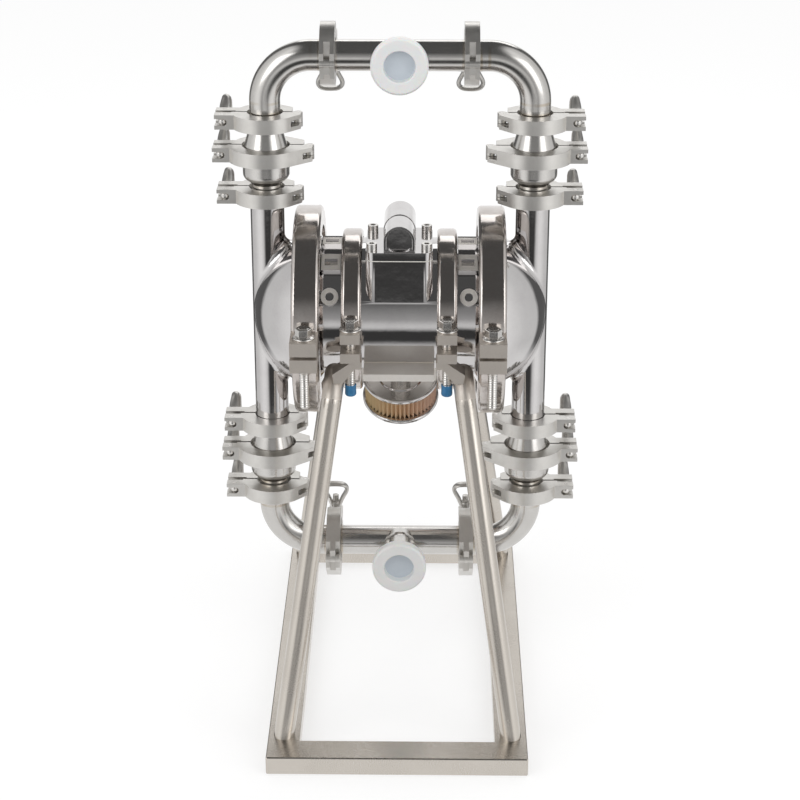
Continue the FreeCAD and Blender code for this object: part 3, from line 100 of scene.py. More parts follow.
# steel of the pump, by how each surface was worked: wave, grain and depths in mm
steelLooks = {
    "mirrorPolishedSteel": {  # buffed on a wheel, so it keeps slow waves and almost no lines
        "color": "#e1e0de", "shade": "#c0bcbd", "rough": (0.04, 0.10), "wave": 24, "waveDepth": 0.14,
        "grain": 1.2, "stretch": (1, 1, 1), "grainDepth": 0.003,
    },
    "bandSteel": {  # turned rings, buffed but with hairlines along the axis
        "color": "#e6e2de", "shade": "#a89d97", "rough": (0.08, 0.20), "wave": 16, "waveDepth": 0.11,
        "grain": 1.0, "stretch": (0.35, 1.6, 1.6), "grainDepth": 0.01,
    },
    "tubeSteel": {  # belt-polished tube with soft streaks along it
        "color": "#dcdad7", "shade": "#c6c3bf", "rough": (0.13, 0.25), "wave": 26, "waveDepth": 0.05,
        "grain": 0.9, "stretch": (2.2, 2.2, 0.3), "grainDepth": 0.012,
    },
    "castSteel": {  # investment casting, glass-bead blasted and tumbled to a satin
        "color": "#e3e1dd", "shade": "#cbc8c3", "rough": (0.28, 0.42), "wave": 9, "waveDepth": 0.08,
        "grain": 0.8, "stretch": (1, 1, 1), "grainDepth": 0.02,
    },
    "milledSteel": {  # lug faces left from the milling cutter, matt and slightly warm
        "color": "#e4ddd5", "shade": "#c8c0b7", "rough": (0.42, 0.58), "wave": 10, "waveDepth": 0.03,
        "grain": 0.7, "stretch": (0.3, 1, 2.4), "grainDepth": 0.02,
    },
    "standSteel": {  # brushed along its length and only half polished, warm grey
        "color": "#dcd6ce", "shade": "#c1bab1", "rough": (0.18, 0.32), "wave": 45, "waveDepth": 0.05,
        "grain": 0.8, "stretch": (2.2, 2.2, 0.12), "grainDepth": 0.015,
    },
    "blastedSteel": {  # glass-bead blasted before polishing, pale and quite matt
        "color": "#fbf8f4", "shade": "#e8e3dc", "rough": (0.56, 0.70), "wave": 14, "waveDepth": 0.03,
        "grain": 0.7, "stretch": (0.3, 1, 1), "grainDepth": 0.02,
    },
    "brightBoltSteel": {  # cold-headed stainless screws, bright from the roller
        "color": "#efedea", "shade": "#d2cfcb", "rough": (0.18, 0.32), "wave": 4, "waveDepth": 0.03,
        "grain": 0.6, "stretch": (1, 1, 1), "grainDepth": 0.008,
    },
}
heatTint = {"color": "#b3a184", "reach": 3, "most": 0.5}  # straw tint beside a weld, reach in mm along the tube


def steel(name, label=None, welds=()):
    # welds: (x, y, z, radius) rings in mm
    look = steelLooks[name]
    material = newMaterial(label or name)
    place = addNode(material, "ShaderNodeTexCoord").outputs["Object"]
    blotch = addNode(material, "ShaderNodeTexNoise", {"Scale": 1000 / look["wave"], "Detail": 3, "Roughness": 0.5},
                     {"Vector": place})
    streak = addNode(material, "ShaderNodeMapping", {"Scale": [1000 / look["grain"] * s for s in look["stretch"]]},
                     {"Vector": place})
    grain = addNode(material, "ShaderNodeTexNoise", {"Scale": 1, "Detail": 4, "Roughness": 0.6},
                    {"Vector": streak.outputs[0]})
    smear = addNode(material, "ShaderNodeMix", {"Factor": 0.5},
                    {2: blotch.outputs["Fac"], 3: grain.outputs["Fac"]})
    smooth, dull = look["rough"]
    rough = addNode(material, "ShaderNodeMapRange",
                    {"From Min": 0.3, "From Max": 0.7, "To Min": smooth, "To Max": dull}, {"Value": smear.outputs[0]})
    color = addNode(material, "ShaderNodeMix",
                    {"data_type": "RGBA", 6: hexColor(look["color"]), 7: hexColor(look["shade"])},
                    {"Factor": smear.outputs[0]}).outputs[2]
    if welds:
        heat = None
        for x, y, z, radius in welds:
            away = addNode(material, "ShaderNodeVectorMath", {"operation": "DISTANCE", 1: (x * mm, y * mm, z * mm)},
                           {0: place})
            far = math.hypot(radius, heatTint["reach"])
            band = addNode(material, "ShaderNodeMapRange",
                           {"interpolation_type": "SMOOTHSTEP", "From Min": radius * mm, "From Max": far * mm,
                            "To Min": 1, "To Max": 0},
                           {"Value": away.outputs["Value"]}).outputs[0]
            if heat is not None:
                band = addNode(material, "ShaderNodeMath", {"operation": "MAXIMUM"}, {0: band, 1: heat}).outputs[0]
            heat = band
        spots = addNode(material, "ShaderNodeMapRange",
                        {"From Min": 0.35, "From Max": 0.65, "To Min": 0.0, "To Max": heatTint["most"]},
                        {"Value": blotch.outputs["Fac"]})
        patchy = addNode(material, "ShaderNodeMath", {"operation": "MULTIPLY", "use_clamp": True},
                         {0: heat, 1: spots.outputs[0]})
        color = addNode(material, "ShaderNodeMix", {"data_type": "RGBA", 7: hexColor(heatTint["color"])},
                        {"Factor": patchy.outputs[0], 6: color}).outputs[2]
    waves = addNode(material, "ShaderNodeBump", {"Strength": 1, "Distance": look["waveDepth"] * mm},
                    {"Height": blotch.outputs["Fac"]})
    lines = addNode(material, "ShaderNodeBump", {"Strength": 1, "Distance": look["grainDepth"] * mm},
                    {"Height": grain.outputs["Fac"], "Normal": waves.outputs[0]})
    shader = addNode(material, "ShaderNodeBsdfPrincipled", {"Metallic": 1},
                     {"Base Color": color, "Roughness": rough.outputs[0], "Normal": lines.outputs[0]})
    return finishMaterial(material, shader)


def plastic(name, color, deep, rough, spread=0.0, wave=12):
    # a slow cloud between two colours, wave in mm, and the faint unevenness of a moulded skin
    material = newMaterial(name)
    place = addNode(material, "ShaderNodeTexCoord").outputs["Object"]
    cloud = addNode(material, "ShaderNodeTexNoise", {"Scale": 1000 / wave, "Detail": 3}, {"Vector": place})
    tone = addNode(material, "ShaderNodeMix", {"data_type": "RGBA", 6: hexColor(color), 7: hexColor(deep)},
                   {"Factor": cloud.outputs["Fac"]})
    bump = addNode(material, "ShaderNodeBump", {"Strength": 1, "Distance": 0.05 * mm}, {"Height": cloud.outputs["Fac"]})
    shader = addNode(material, "ShaderNodeBsdfPrincipled",
                     {"Roughness": rough, "IOR": 1.5, "Subsurface Weight": spread, "Subsurface Scale": 4 * mm},
                     {"Base Color": tone.outputs[2], "Normal": bump.outputs[0]})
    return finishMaterial(material, shader)


paperLook = {"left": "#f2dcb0", "right": "#efcdba", "half": 45, "fibre": (0.93, 0.92, 0.88, 1)}


def filterPaper():
    # resin-treated paper, matt and fibrous, tan with a pink cast towards one side
    material = newMaterial("filterPaper")
    half = paperLook["half"] * mm
    place = addNode(material, "ShaderNodeTexCoord").outputs["Object"]
    split = addNode(material, "ShaderNodeSeparateXYZ", {}, {0: place})
    across = addNode(material, "ShaderNodeMapRange", {"From Min": -half, "From Max": half}, {"Value": split.outputs[0]})
    fibre = addNode(material, "ShaderNodeTexNoise", {"Scale": 900, "Detail": 4}, {"Vector": place})
    warm = addNode(material, "ShaderNodeMix",
                   {"data_type": "RGBA", 6: hexColor(paperLook["left"]), 7: hexColor(paperLook["right"])},
                   {"Factor": across.outputs[0]})
    tone = addNode(material, "ShaderNodeMix", {"data_type": "RGBA", "blend_type": "MULTIPLY", 7: paperLook["fibre"]},
                   {"Factor": fibre.outputs["Fac"], 6: warm.outputs[2]})
    shader = addNode(material, "ShaderNodeBsdfPrincipled", {"Roughness": 0.85, "Specular IOR Level": 0.2},
                     {"Base Color": tone.outputs[2]})
    return finishMaterial(material, shader)


finishes = {name: steel(name) for name in steelLooks}
# soft moulded polythene of the push-on caps: milky white, light goes a little way in
finishes["capPolythene"] = plastic("capPolythene", "#f6f5f3", "#eeeeee", 0.38, spread=0.2)
# painted shade: the floor of the cap's recess is coloured a darker cool grey, for the shade in the recess and the dark
# port behind its thin floor
finishes["recessShadePolythene"] = plastic("recessShadePolythene", "#d4dce4", "#c6cfd8", 0.34)
# moulded nylon in mottled blue
finishes["blueNylon"] = plastic("blueNylon", "#3f8cbc", "#1c5688", 0.35, wave=3)
# turned fluoroplastic: warm white and waxy
finishes["whitePtfe"] = plastic("whitePtfe", "#f1efe9", "#e4e1d8", 0.45)
# moulded rubber: nearly black and dull
finishes["blackRubber"] = plastic("blackRubber", "#26262a", "#1a1a1c", 0.6)
finishes["filterPaper"] = filterPaper()
print("materials made:", len(bpy.data.materials))

nodeFinish = {  # finish by the start of a node's name, the longest that fits
    "fluid_chamber": "mirrorPolishedSteel", "air_chamber": "mirrorPolishedSteel",
    "centre_housing": "mirrorPolishedSteel", "valve_cover": "mirrorPolishedSteel",
    "main_band_": "bandSteel", "small_band_": "bandSteel",
    "outlet_": "tubeSteel", "inlet_": "tubeSteel", "valve_c": "tubeSteel", "nut_": "castSteel",
    "right_stack": "castSteel", "left_stack": "castSteel", "manifold_clamps": "castSteel",
    "clamp_bolts": "brightBoltSteel", "main_band_bolts": "brightBoltSteel", "small_band_bolts": "brightBoltSteel",
    "cover_screws": "brightBoltSteel", "base_frame": "standSteel", "legs_": "standSteel",
    "outlet_cap": "capPolythene", "inlet_cap": "capPolythene", "bolt_end_caps": "blueNylon",
    "outlet_ball": "whitePtfe", "inlet_ball": "whitePtfe", "ferrule_gaskets": "whitePtfe", "cover_gasket": "whitePtfe",
    "diaphragm_left": "blackRubber", "diaphragm_right": "blackRubber", "diaphragm_shaft": "brightBoltSteel",
    "diaphragm_plates": "brightBoltSteel", "shaft_bushes": "whitePtfe", "valve_spool": "brightBoltSteel",
    "exhaust_pipe": "brightBoltSteel", "filter_caps": "mirrorPolishedSteel", "filter_paper": "filterPaper",
}


def finishOf(nodeName):
    fits = [start for start in nodeFinish if nodeName.startswith(start)]
    return finishes[nodeFinish[max(fits, key=len)]]


for nodeName, node in nodes.items():
    node.data.materials.clear()
    node.data.materials.append(finishOf(nodeName))


# Shaping

xAxis, yAxis, zAxis = Vector((1, 0, 0)), Vector((0, 1, 0)), Vector((0, 0, 1))


def turned(shape, profile, centre, axis, steps=96):
    # spins (radius, height) points, in mm, a full turn about an axis through a centre
    axis = Vector(axis).normalized()
    side = axis.orthogonal().normalized()
    middle = Vector(centre) * mm
    rim = [shape.verts.new(middle + side * radius * mm + axis * height * mm) for radius, height in profile]
    line = [shape.edges.new(pair) for pair in zip(rim, rim[1:])]
    bmesh.ops.spin(shape, geom=rim + line, cent=middle, axis=axis, angle=math.radians(360), steps=steps,
                   use_merge=True, use_duplicate=False)
    bmesh.ops.remove_doubles(shape, verts=shape.verts, dist=0.0005 * mm)


def arc(centreRadius, centreHeight, radius, first, last, count=10):
    # (radius, height) points on an arc, angles in degrees from the radial direction
    angles = [math.radians(first + (last - first) * i / count) for i in range(count + 1)]
    return [(centreRadius + radius * math.cos(a), centreHeight + radius * math.sin(a)) for a in angles]


def pieceFrom(shape, name):
    mesh = bpy.data.meshes.new(name)
    shape.to_mesh(mesh)
    shape.free()
    piece = bpy.data.objects.new(name, mesh)
    bpy.context.scene.collection.objects.link(piece)
    return piece


def softEdges(piece, width, segments, angle):
    bevel = piece.modifiers.new("edges", "BEVEL")
    bevel.width = width * mm
    bevel.segments = segments
    bevel.limit_method = "ANGLE"
    bevel.angle_limit = math.radians(angle)


def evenShading(piece):
    # large flat faces keep their own normal where they meet rounded edges
    weigh = piece.modifiers.new("normals", "WEIGHTED_NORMAL")
    weigh.mode = "FACE_AREA"
    weigh.weight = 90
    weigh.keep_sharp = True


def addPiece(name, shape, finish, body, hides, soft=0.0, angle=32):
    # soft is the width of its rounded edges in mm; without it, edges over the angle stay sharp
    bmesh.ops.recalc_face_normals(shape, faces=shape.faces)
    piece = pieceFrom(shape, name)
    piece.data.materials.append(finishes[finish] if isinstance(finish, str) else finish)
    piece.data.shade_smooth()
    if soft:
        softEdges(piece, soft, 2, angle)
    else:
        piece.data.set_sharp_from_angle(angle=math.radians(angle))
    evenShading(piece)
    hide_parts(*hides)
    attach(piece, body)


def softened(nodeName, width=0.6, segments=2, angle=32, other=None):
    # copy of a CAD node with welded faces and softened edges; other gives some faces another finish
    shape = bmesh.new()
    shape.from_mesh(nodes[nodeName].data)
    bmesh.ops.remove_doubles(shape, verts=shape.verts, dist=0.002 * mm)
    bmesh.ops.dissolve_limit(shape, angle_limit=math.radians(0.5), verts=shape.verts, edges=shape.edges)
    for face in shape.faces:
        face.material_index = int(bool(other) and other[1](face.calc_center_median() / mm))
    piece = pieceFrom(shape, nodeName + "_soft")
    piece.data.materials.append(finishOf(nodeName))
    if other:
        piece.data.materials.append(finishes[other[0]])
    piece.data.shade_smooth()
    softEdges(piece, width, segments, angle)
    evenShading(piece)
    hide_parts(nodeName)
    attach(piece, nodes[nodeName]["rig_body"])


# Ferrules and valve stacks

ferrules = {  # sanitary clamp ferrules: rim radius, radius where the taper ends
    "small": {"rim": 25.25, "root": 21.9}, "wide": {"rim": 32, "root": 29.3},
    "rimThick": 2.85, "gasket": 2.0, "taper": 0.364, "frontEdge": 0.5, "backEdge": (0.3, 0.4),
    "fillet": ((1.2, 0.5), (0.3, 1.2), (0, 2.4)),  # outside the tube and behind the taper
}


def ferruleLine(kind, tubeRadius):
    # from the middle of the face out and back down to the tube, height 0 at the joint
    rim, root = ferrules[kind]["rim"], ferrules[kind]["root"]
    face, front, (edge, drop) = ferrules["gasket"] / 2, ferrules["frontEdge"], ferrules["backEdge"]
    shoulder = face + ferrules["rimThick"]
    back = shoulder + (rim - root) * ferrules["taper"]
    fillet = [(tubeRadius + out, back + up) for out, up in ferrules["fillet"]]
    return [(0, face), (rim - front, face), (rim, face + front), (rim, shoulder - drop), (rim - edge, shoulder),
            (root, back), *fillet]


def flipped(line, height):
    return [(radius, height - up) for radius, up in reversed(line)]


valveSizes = {  # radii of tube, cup and cone, their heights and their wall
    "neck": 19.05, "cup": 29.1, "rise": 53, "coneRise": 41.5, "coneFoot": 27, "wall": 1.65,
}
cupShape = {  # heights over the lower joint; pairs are (radius past the neck, height)
    "necking": ((0, 13.2), (0.8, 14.4)), "round": 9.5, "roundHigh": 26.5, "roundFrom": -64,
    "wallFoot": 26, "bend": (3.5, 20.5), "rim": (1, 16.5), "seat": 15,
}
coneShape = {"footHigh": 9.5, "footIn": 0.4, "headOut": 0.5, "headDown": 8.5, "insideFoot": 8}


def cupLine():
    # the outside from the lower joint up, then the inside back down past the ball's seat
    neck, cup, rise, wall = valveSizes["neck"], valveSizes["cup"], valveSizes["rise"], valveSizes["wall"]
    face, look, bore = ferrules["gasket"] / 2, cupShape, neck - wall
    necking = [(neck + out, up) for out, up in look["necking"]]
    bowl = arc(cup - look["round"], look["roundHigh"], look["round"], look["roundFrom"], 0, 12)
    (bendIn, bendHigh), (rimOut, rimHigh) = look["bend"], look["rim"]
    inside = [(cup - wall, rise - face), (cup - wall, look["wallFoot"]), (cup - wall - bendIn, bendHigh),
              (neck + rimOut, rimHigh), (bore, look["seat"])]
    return [(bore, face), *ferruleLine("small", neck)[1:], *necking, *bowl,
            *flipped(ferruleLine("wide", cup)[1:], rise), *inside, (bore, face)]


def coneLine():
    neck, foot, rise, wall = valveSizes["neck"], valveSizes["coneFoot"], valveSizes["coneRise"], valveSizes["wall"]
    face, look = ferrules["gasket"] / 2, coneShape
    taper = [(foot - look["footIn"], look["footHigh"]), (neck + look["headOut"], rise - look["headDown"])]
    inside = [(neck - wall, rise - face), (neck - wall, rise - look["headDown"]), (foot - wall, look["insideFoot"])]
    return [(foot - wall, face), *ferruleLine("wide", foot)[1:], *taper,
            *flipped(ferruleLine("small", neck)[1:], rise), *inside, (foot - wall, face)]


riserHalf, stackTop = 153.5, 248  # pump axis to the riser's joint and to the elbow's joint
seats = {"outlet": axisHeight + riserHalf, "inlet": axisHeight - stackTop}
sides = {"right": 1, "left": -1}
weldPast = 0.45  # a weld's tint starts this far outside the tube


def valveStacks():
    cups, cones = bmesh.new(), bmesh.new()
    for seat in seats.values():
        for sign in sides.values():
            turned(cups, cupLine(), (sign * stackReach, 0, seat), zAxis)
            turned(cones, coneLine(), (sign * stackReach, 0, seat + valveSizes["rise"]), zAxis)
    high, radius = cupShape["seat"], valveSizes["neck"] + weldPast
    welds = [(sign * stackReach, 0, seat + high, radius) for seat in seats.values() for sign in sides.values()]
    addPiece("valveCups", cups, steel("tubeSteel", "cupSteel", welds), "pump", ["valve_cups"])
    addPiece("valveCones", cones, "tubeSteel", "pump", ["valve_cones"])


# Elbows and manifolds

bendSizes = {
    "tube": 19.05, "radius": 57, "rise": 79.5, "manifoldHalf": 87, "port": 22.25, "portWall": 1.6, "branchTrim": 0.4,
    "wellDeep": 24, "branchEnd": 6, "runWeld": 8,
    "bendWelds": (19, 19.5),  # radii where a bend's two welds start their tint
    "jointWeld": (7, 95),  # weld over the joint, weld beside the manifold's joint
}
branchFillet = ((0, -1.6), (0.9, 0), (2.2, 1.6))  # outside the branch, past the run's side
portReaches = {"outlet": 54, "inlet": 80}


def elbow(shape, sign, joint, up, endKind):
    # quarter bend from a stack joint towards the manifold; up is 1 or -1
    tube, radius, rise = bendSizes["tube"], bendSizes["radius"], bendSizes["rise"]
    x, direction = sign * stackReach, zAxis * up
    start = rise - radius
    turned(shape, [*ferruleLine("small", tube), (tube, start)], (x, 0, joint), direction)
    made = bmesh.ops.create_circle(shape, segments=96, radius=tube * mm,
                                   matrix=Matrix.Translation((x * mm, 0, (joint + up * start) * mm)))
    ring = made["verts"] + list({e for v in made["verts"] for e in v.link_edges})
    centre = Vector((x - sign * radius, 0, joint + up * start)) * mm
    bmesh.ops.spin(shape, geom=ring, cent=centre, axis=yAxis, angle=math.radians(-90 * sign * up), steps=40,
                   use_duplicate=False)
    inner = bendSizes["manifoldHalf"]
    turned(shape, [*ferruleLine(endKind, tube), (tube, stackReach - radius - inner)],
           (sign * inner, 0, joint + up * rise), xAxis * sign)
    bmesh.ops.remove_doubles(shape, verts=shape.verts, dist=0.003 * mm)


def elbows():
    joints = {"outlet": (axisHeight + stackTop, 1, "small"), "inlet": (axisHeight - stackTop, -1, "wide")}
    radius, rise = bendSizes["radius"], bendSizes["rise"]
    bendEnd, jointEnd = bendSizes["bendWelds"]
    over, beside = bendSizes["jointWeld"]
    for level, (joint, up, endKind) in joints.items():
        shape = bmesh.new()
        welds = []
        for sign in sides.values():
            elbow(shape, sign, joint, up, endKind)
            x, high = sign * stackReach, joint + up * rise
            welds += [(x, 0, joint + up * (rise - radius), bendEnd), (x, 0, joint + up * over, jointEnd),
                      (sign * (stackReach - radius), 0, high, bendEnd), (sign * beside, 0, high, jointEnd)]
        addPiece(level + "Elbows", shape, steel("tubeSteel", level + "ElbowSteel", welds), "pump", [level + "_elbows"])


def manifold(level, kind):
    # run between two joints, with a branch that widens to the port in front
    shape, look = bmesh.new(), bendSizes
    height, half, tube, port = manifoldLevels[level], look["manifoldHalf"], look["tube"], look["port"]
    reach, neck, face = portReaches[level], tube - look["branchTrim"], ferrules["gasket"] / 2
    turned(shape, [*ferruleLine(kind, tube), *flipped(ferruleLine(kind, tube), 2 * half)], (-half, 0, height), xAxis)
    # straight port, cone and straight neck share the branch in thirds
    side = reach - tube
    third, bore = side / 3, port - look["portWall"]
    cone = [(port, third), (port - 0.4, third + 1), (neck + 0.4, 2 * third - 1), (neck, 2 * third)]
    fillet = [(neck + out, side + up) for out, up in branchFillet]
    line = [(bore, look["wellDeep"]), (bore, face), *ferruleLine("wide", port)[1:], *cone, *fillet,
            (fillet[-1][0], reach - look["branchEnd"])]
    turned(shape, line, (0, -reach - face, height), yAxis)
    welds = [(sign * (half - look["runWeld"]), 0, height, tube + 0.3) for sign in (1, -1)]
    addPiece(level + "Tee", shape, steel("tubeSteel", level + "TeeSteel", welds), "pump", [level + "_tee"])


valveStacks()
elbows()
manifold("outlet", "small")
manifold("inlet", "wide")
print("tubes made")

# Clamp nuts: a cast loop on a round hub, sizes from the clamp's middle along the bolt

nutSizes = {
    "foot": 18.3, "hub": 7, "hubLong": 12, "bore": 4, "reach": 58, "width": 37, "bar": 5.6,
    "root": 13.4, "tip": 6.4,  # depth of the casting in the middle and at the loop's sides
    "thinFrom": 0.35, "thinning": 1.6,  # share of the half width where it starts to thin, and how late it thins
    "farEnd": ((15, 1.2), (8.5, 0), (4.2, 3.6), (2.8, 9)),  # back from the loop's far end, in from its side
}
boltReach = {"small": 51.5, "wide": 55.5}  # clamp's middle to its bolt


def nutPlaces():
    # (node, bolt axis point in mm, direction of the bolt, direction across the loop)
    small, wide = boltReach["small"], boltReach["wide"]
    middle = stackTop - valveSizes["coneRise"]
    levels = {
        "top": (stackTop, small), "outlet_ball": (middle, wide), "upper_riser": (riserHalf, small),
        "lower_riser": (-riserHalf, small), "inlet_ball": (-stackTop + valveSizes["rise"], wide),
        "bottom": (-stackTop, small),
    }
    for level, (height, reach) in levels.items():
        for side, sign in sides.items():
            at = Vector((sign * (stackReach + reach), 0, axisHeight + height))
            yield "nut_%s_%s" % (level, side), at, yAxis, zAxis
    for level, reach, down in (("outlet", small, -1), ("inlet", wide, 1)):
        for side, sign in sides.items():
            at = Vector((sign * bendSizes["manifoldHalf"], reach, manifoldLevels[level]))
            yield "nut_%s_manifold_%s" % (level, side), at, zAxis * down, xAxis


def loopPath():
    # (distance along the bolt, distance to one side) round a rounded triangle, wide at its far side
    look = nutSizes
    foot, half = look["foot"], look["width"] / 2 - look["bar"] / 2
    path = [(foot + 5, 4.6), (foot + look["hubLong"] + 4, 8.4),
            *[(look["reach"] - back, half - narrower) for back, narrower in look["farEnd"]]]
    return path + [(up, -side) for up, side in reversed(path)]


def sweptLoop(name, at, out, across):
    # mesh of an oval bar along the loop, in metres
    look, path = nutSizes, loopPath()
    curve = bpy.data.curves.new(name, "CURVE")
    curve.dimensions = "3D"
    spline = curve.splines.new("NURBS")
    spline.points.add(len(path) - 1)
    for point, (up, side) in zip(spline.points, path):
        point.co = (*(at + out * up + across * side) * mm, 1)
    spline.order_u = 4
    spline.use_endpoint_u = True
    spline.resolution_u = 6
    curve.bevel_mode = "ROUND"
    curve.bevel_depth = look["bar"] / 2 * mm
    curve.bevel_resolution = 4
    curve.use_fill_caps = True
    holder = bpy.data.objects.new(name, curve)
    bpy.context.scene.collection.objects.link(holder)
    bpy.context.view_layer.update()
    loop = bpy.data.meshes.new_from_object(holder)
    bpy.data.objects.remove(holder)
    swept = bmesh.new()
    swept.from_mesh(loop)
    bpy.data.meshes.remove(loop)
    # the casting is as deep as its hub in the middle and thins towards both sides of the loop
    flat = out.cross(across)
    for vert in swept.verts:
        side = abs((vert.co / mm - at).dot(across)) / (look["width"] / 2)
        thin = max(0, min(1, (side - look["thinFrom"]) / (1 - look["thinFrom"]))) ** look["thinning"]
        depth = (look["root"] + (look["tip"] - look["root"]) * thin) / look["bar"]
        vert.co += flat * (vert.co / mm - at).dot(flat) * (depth - 1) * mm
    shaped = bpy.data.meshes.new(name)
    swept.to_mesh(shaped)
    swept.free()
    return shaped


def loopNut(nodeName, at, out, across):
    # a cast loop on its round hub
    look, shape = nutSizes, bmesh.new()
    foot, top, hub, bore = look["foot"], look["foot"] + look["hubLong"], look["hub"], look["bore"]
    line = [(bore, foot), (hub - 0.6, foot), (hub, foot + 0.6), (hub, foot + 7),
            *arc(hub - 2.2, top - 2.2, 2.2, 0, 80, 4), (bore + 0.2, top), (bore, top - 0.4), (bore, foot)]
    turned(shape, line, at, out, 40)
    loop = sweptLoop(nodeName + "_line", at, out, across)
    shape.from_mesh(loop)
    bpy.data.meshes.remove(loop)
    addPiece(nodeName + "_cast", shape, "castSteel", nodeName, [nodeName], angle=40)


for place in nutPlaces():
    loopNut(*place)
print("clamp nuts made")

# Band bolts: flanged hexagon heads, plain under the lug and threaded below

bandBolts = {
    "main": {"x": 114, "y": 150.25, "seat": 19, "plain": -25, "end": -72},
    "small": {"x": 59, "y": 120.5, "seat": 18.5, "plain": -24, "end": -66},
    "radius": 6, "across": 18, "flange": 13.5, "flangeHigh": 3, "high": 10, "chamfer": 1.3,
    "pitch": 3.0, "groove": 0.8,  # ridges are drawn coarser and shallower than the real thread, so that they show
}


def boltShank(kind):
    # (radius, height) points from the washer face down to the end, heights from the pump axis
    look, radius, pitch, groove = bandBolts[kind], bandBolts["radius"], bandBolts["pitch"], bandBolts["groove"]
    crest, shank = radius - 0.1, radius - 0.15
    line = [(0.0, look["end"]), (radius - 1.6, look["end"]), (radius - 0.8, look["end"] + 1)]
    height = look["end"] + 1.4
    while height + pitch < look["plain"]:
        line += [(crest - groove, height), (crest, height + 0.42 * pitch), (crest, height + 0.58 * pitch),
                 (crest - groove, height + pitch)]
        height += pitch
    return line + [(shank, look["plain"] + 0.6), (shank, look["seat"] + 1)]


def hexHead(shape, x, y, foot):
    high, turn = bandBolts["high"], math.radians(30)
    place = Matrix.Translation((x * mm, y * mm, (foot + high / 2) * mm)) @ Matrix.Rotation(turn, 4, "Z")
    radius = bandBolts["across"] / 2 / math.cos(turn) * mm
    made = bmesh.ops.create_cone(shape, cap_ends=True, segments=6, radius1=radius, radius2=radius, depth=high * mm,
                                 matrix=place)
    top = (foot + high - 0.1) * mm
    rim = {edge for vert in made["verts"] for edge in vert.link_edges if all(v.co.z > top for v in edge.verts)}
    bmesh.ops.bevel(shape, geom=list(rim), offset=bandBolts["chamfer"] * mm, segments=3, profile=0.5,
                    affect="EDGES", material=-1)


def boltsOf(kind):
    look, flange, shape = bandBolts[kind], bandBolts["flange"], bmesh.new()
    washer = [(0, 0), (flange - 0.4, 0), (flange, 0.4), (flange, 1.0), *arc(flange - 1.2, 1.0, 1.2, 10, 70, 4),
              (9.4, 3.6), (0, 3.6)]
    dish = [(0, 0.5), (5.4, 0.5), (6.0, 0.2), (6.6, 0)]  # the shallow hollow in the head
    seat = axisHeight + look["seat"]
    foot = seat + bandBolts["flangeHigh"]
    for x in (look["x"], -look["x"]):
        for y in (-look["y"], look["y"]):
            turned(shape, boltShank(kind), (x, y, axisHeight), zAxis, 40)
            turned(shape, washer, (x, y, seat), zAxis, 48)
            hexHead(shape, x, y, foot)
            turned(shape, dish, (x, y, foot + bandBolts["high"] + 0.05), zAxis, 40)
    addPiece(kind + "BandBolts", shape, "brightBoltSteel", "pump", [kind + "_band_bolts"], soft=0.35, angle=28)


boltsOf("main")
boltsOf("small")

endCap = {"radius": 7, "bore": 6.05, "high": 15, "foot": -68, "floor": 3, "round": 3.2}


def endCaps():
    # push-on caps with a round bottom and a thin rim
    look, shape = endCap, bmesh.new()
    radius, turn, high, bore = look["radius"], look["round"], look["high"], look["bore"]
    line = [(0, 0), (radius - turn, 0), *arc(radius - turn, turn, turn, -75, 0, 6), (radius - 0.3, high - 2),
            (radius, high - 1.6), (radius, high), (bore, high), (bore, look["floor"]), (0, look["floor"])]
    for x in (bandBolts["small"]["x"], -bandBolts["small"]["x"]):
        for y in (-bandBolts["small"]["y"], bandBolts["small"]["y"]):
            turned(shape, line, (x, y, axisHeight + look["foot"]), zAxis, 40)
    addPiece("endCaps", shape, "blueNylon", "pump", ["bolt_end_caps"])


endCaps()
print("bolts made")

# Softened copies of the other CAD nodes

zones = {  # where a node changes its finish, in mm
    "mainBand": 131, "smallBand": 102, "bandSkin": 0.6,  # radius of the turned ring; the lugs stand out of it
    "well": 17, "wellFloor": 2, "footHalf": 43.6, "footTop": 38, "bracketFoot": 434, "ribs": (90.3, 91.6),
}


def fromAxis(point):
    return math.hypot(point.y, point.z - axisHeight)


def offBand(name):
    return lambda point: fromAxis(point) > zones[name] + zones["bandSkin"]


def inWell(level):
    floorAt = zones["wellFloor"] - portReaches[level]
    return lambda point: math.hypot(point.x, point.z - manifoldLevels[level]) < zones["well"] and point.y > floorAt


def onFoot(point):
    return abs(point.x) < zones["footHalf"] and point.z < axisHeight - zones["footTop"]


def onBracket(point):
    return point.z > zones["bracketFoot"]


def onRib(point):
    inner, outer = zones["ribs"]
    return inner < fromAxis(point) < outer


mainBand = {"width": 0.9, "other": ("milledSteel", offBand("mainBand"))}
smallBand = {"width": 0.9, "other": ("milledSteel", offBand("smallBand"))}
ribs, bracket = {"other": ("blastedSteel", onRib)}, {"other": ("milledSteel", onBracket)}
chamber, clamp = {"width": 0.4, "angle": 55}, {"width": 1.1, "segments": 3}
touches = {  # width of the softened edges in mm, and faces with another finish
    "main_band_right": mainBand, "main_band_left": mainBand,
    "small_band_right": smallBand, "small_band_left": smallBand,
    "centre_housing": {"other": ("blastedSteel", onFoot)}, "air_chamber_right": ribs, "air_chamber_left": ribs,
    "legs_right": bracket, "legs_left": bracket, "fluid_chamber_right": chamber, "fluid_chamber_left": chamber,
    # the floor of each cap's recess takes the painted-shade grey
    "outlet_cap": {"width": 0.8, "segments": 3, "other": ("recessShadePolythene", inWell("outlet"))},
    "inlet_cap": {"width": 0.8, "segments": 3, "other": ("recessShadePolythene", inWell("inlet"))},
    "right_stack_clamps": clamp, "left_stack_clamps": clamp, "manifold_clamps": clamp,
}
kept = ("diaphragm", "shaft", "outlet_ball", "inlet_ball")  # hidden round forms that need no softened edges
for nodeName in nodes:
    if not nodes[nodeName].hide_render and not nodeName.startswith(kept):
        softened(nodeName, **touches.get(nodeName, {}))
print("softened copies made")

# Stage, light and camera

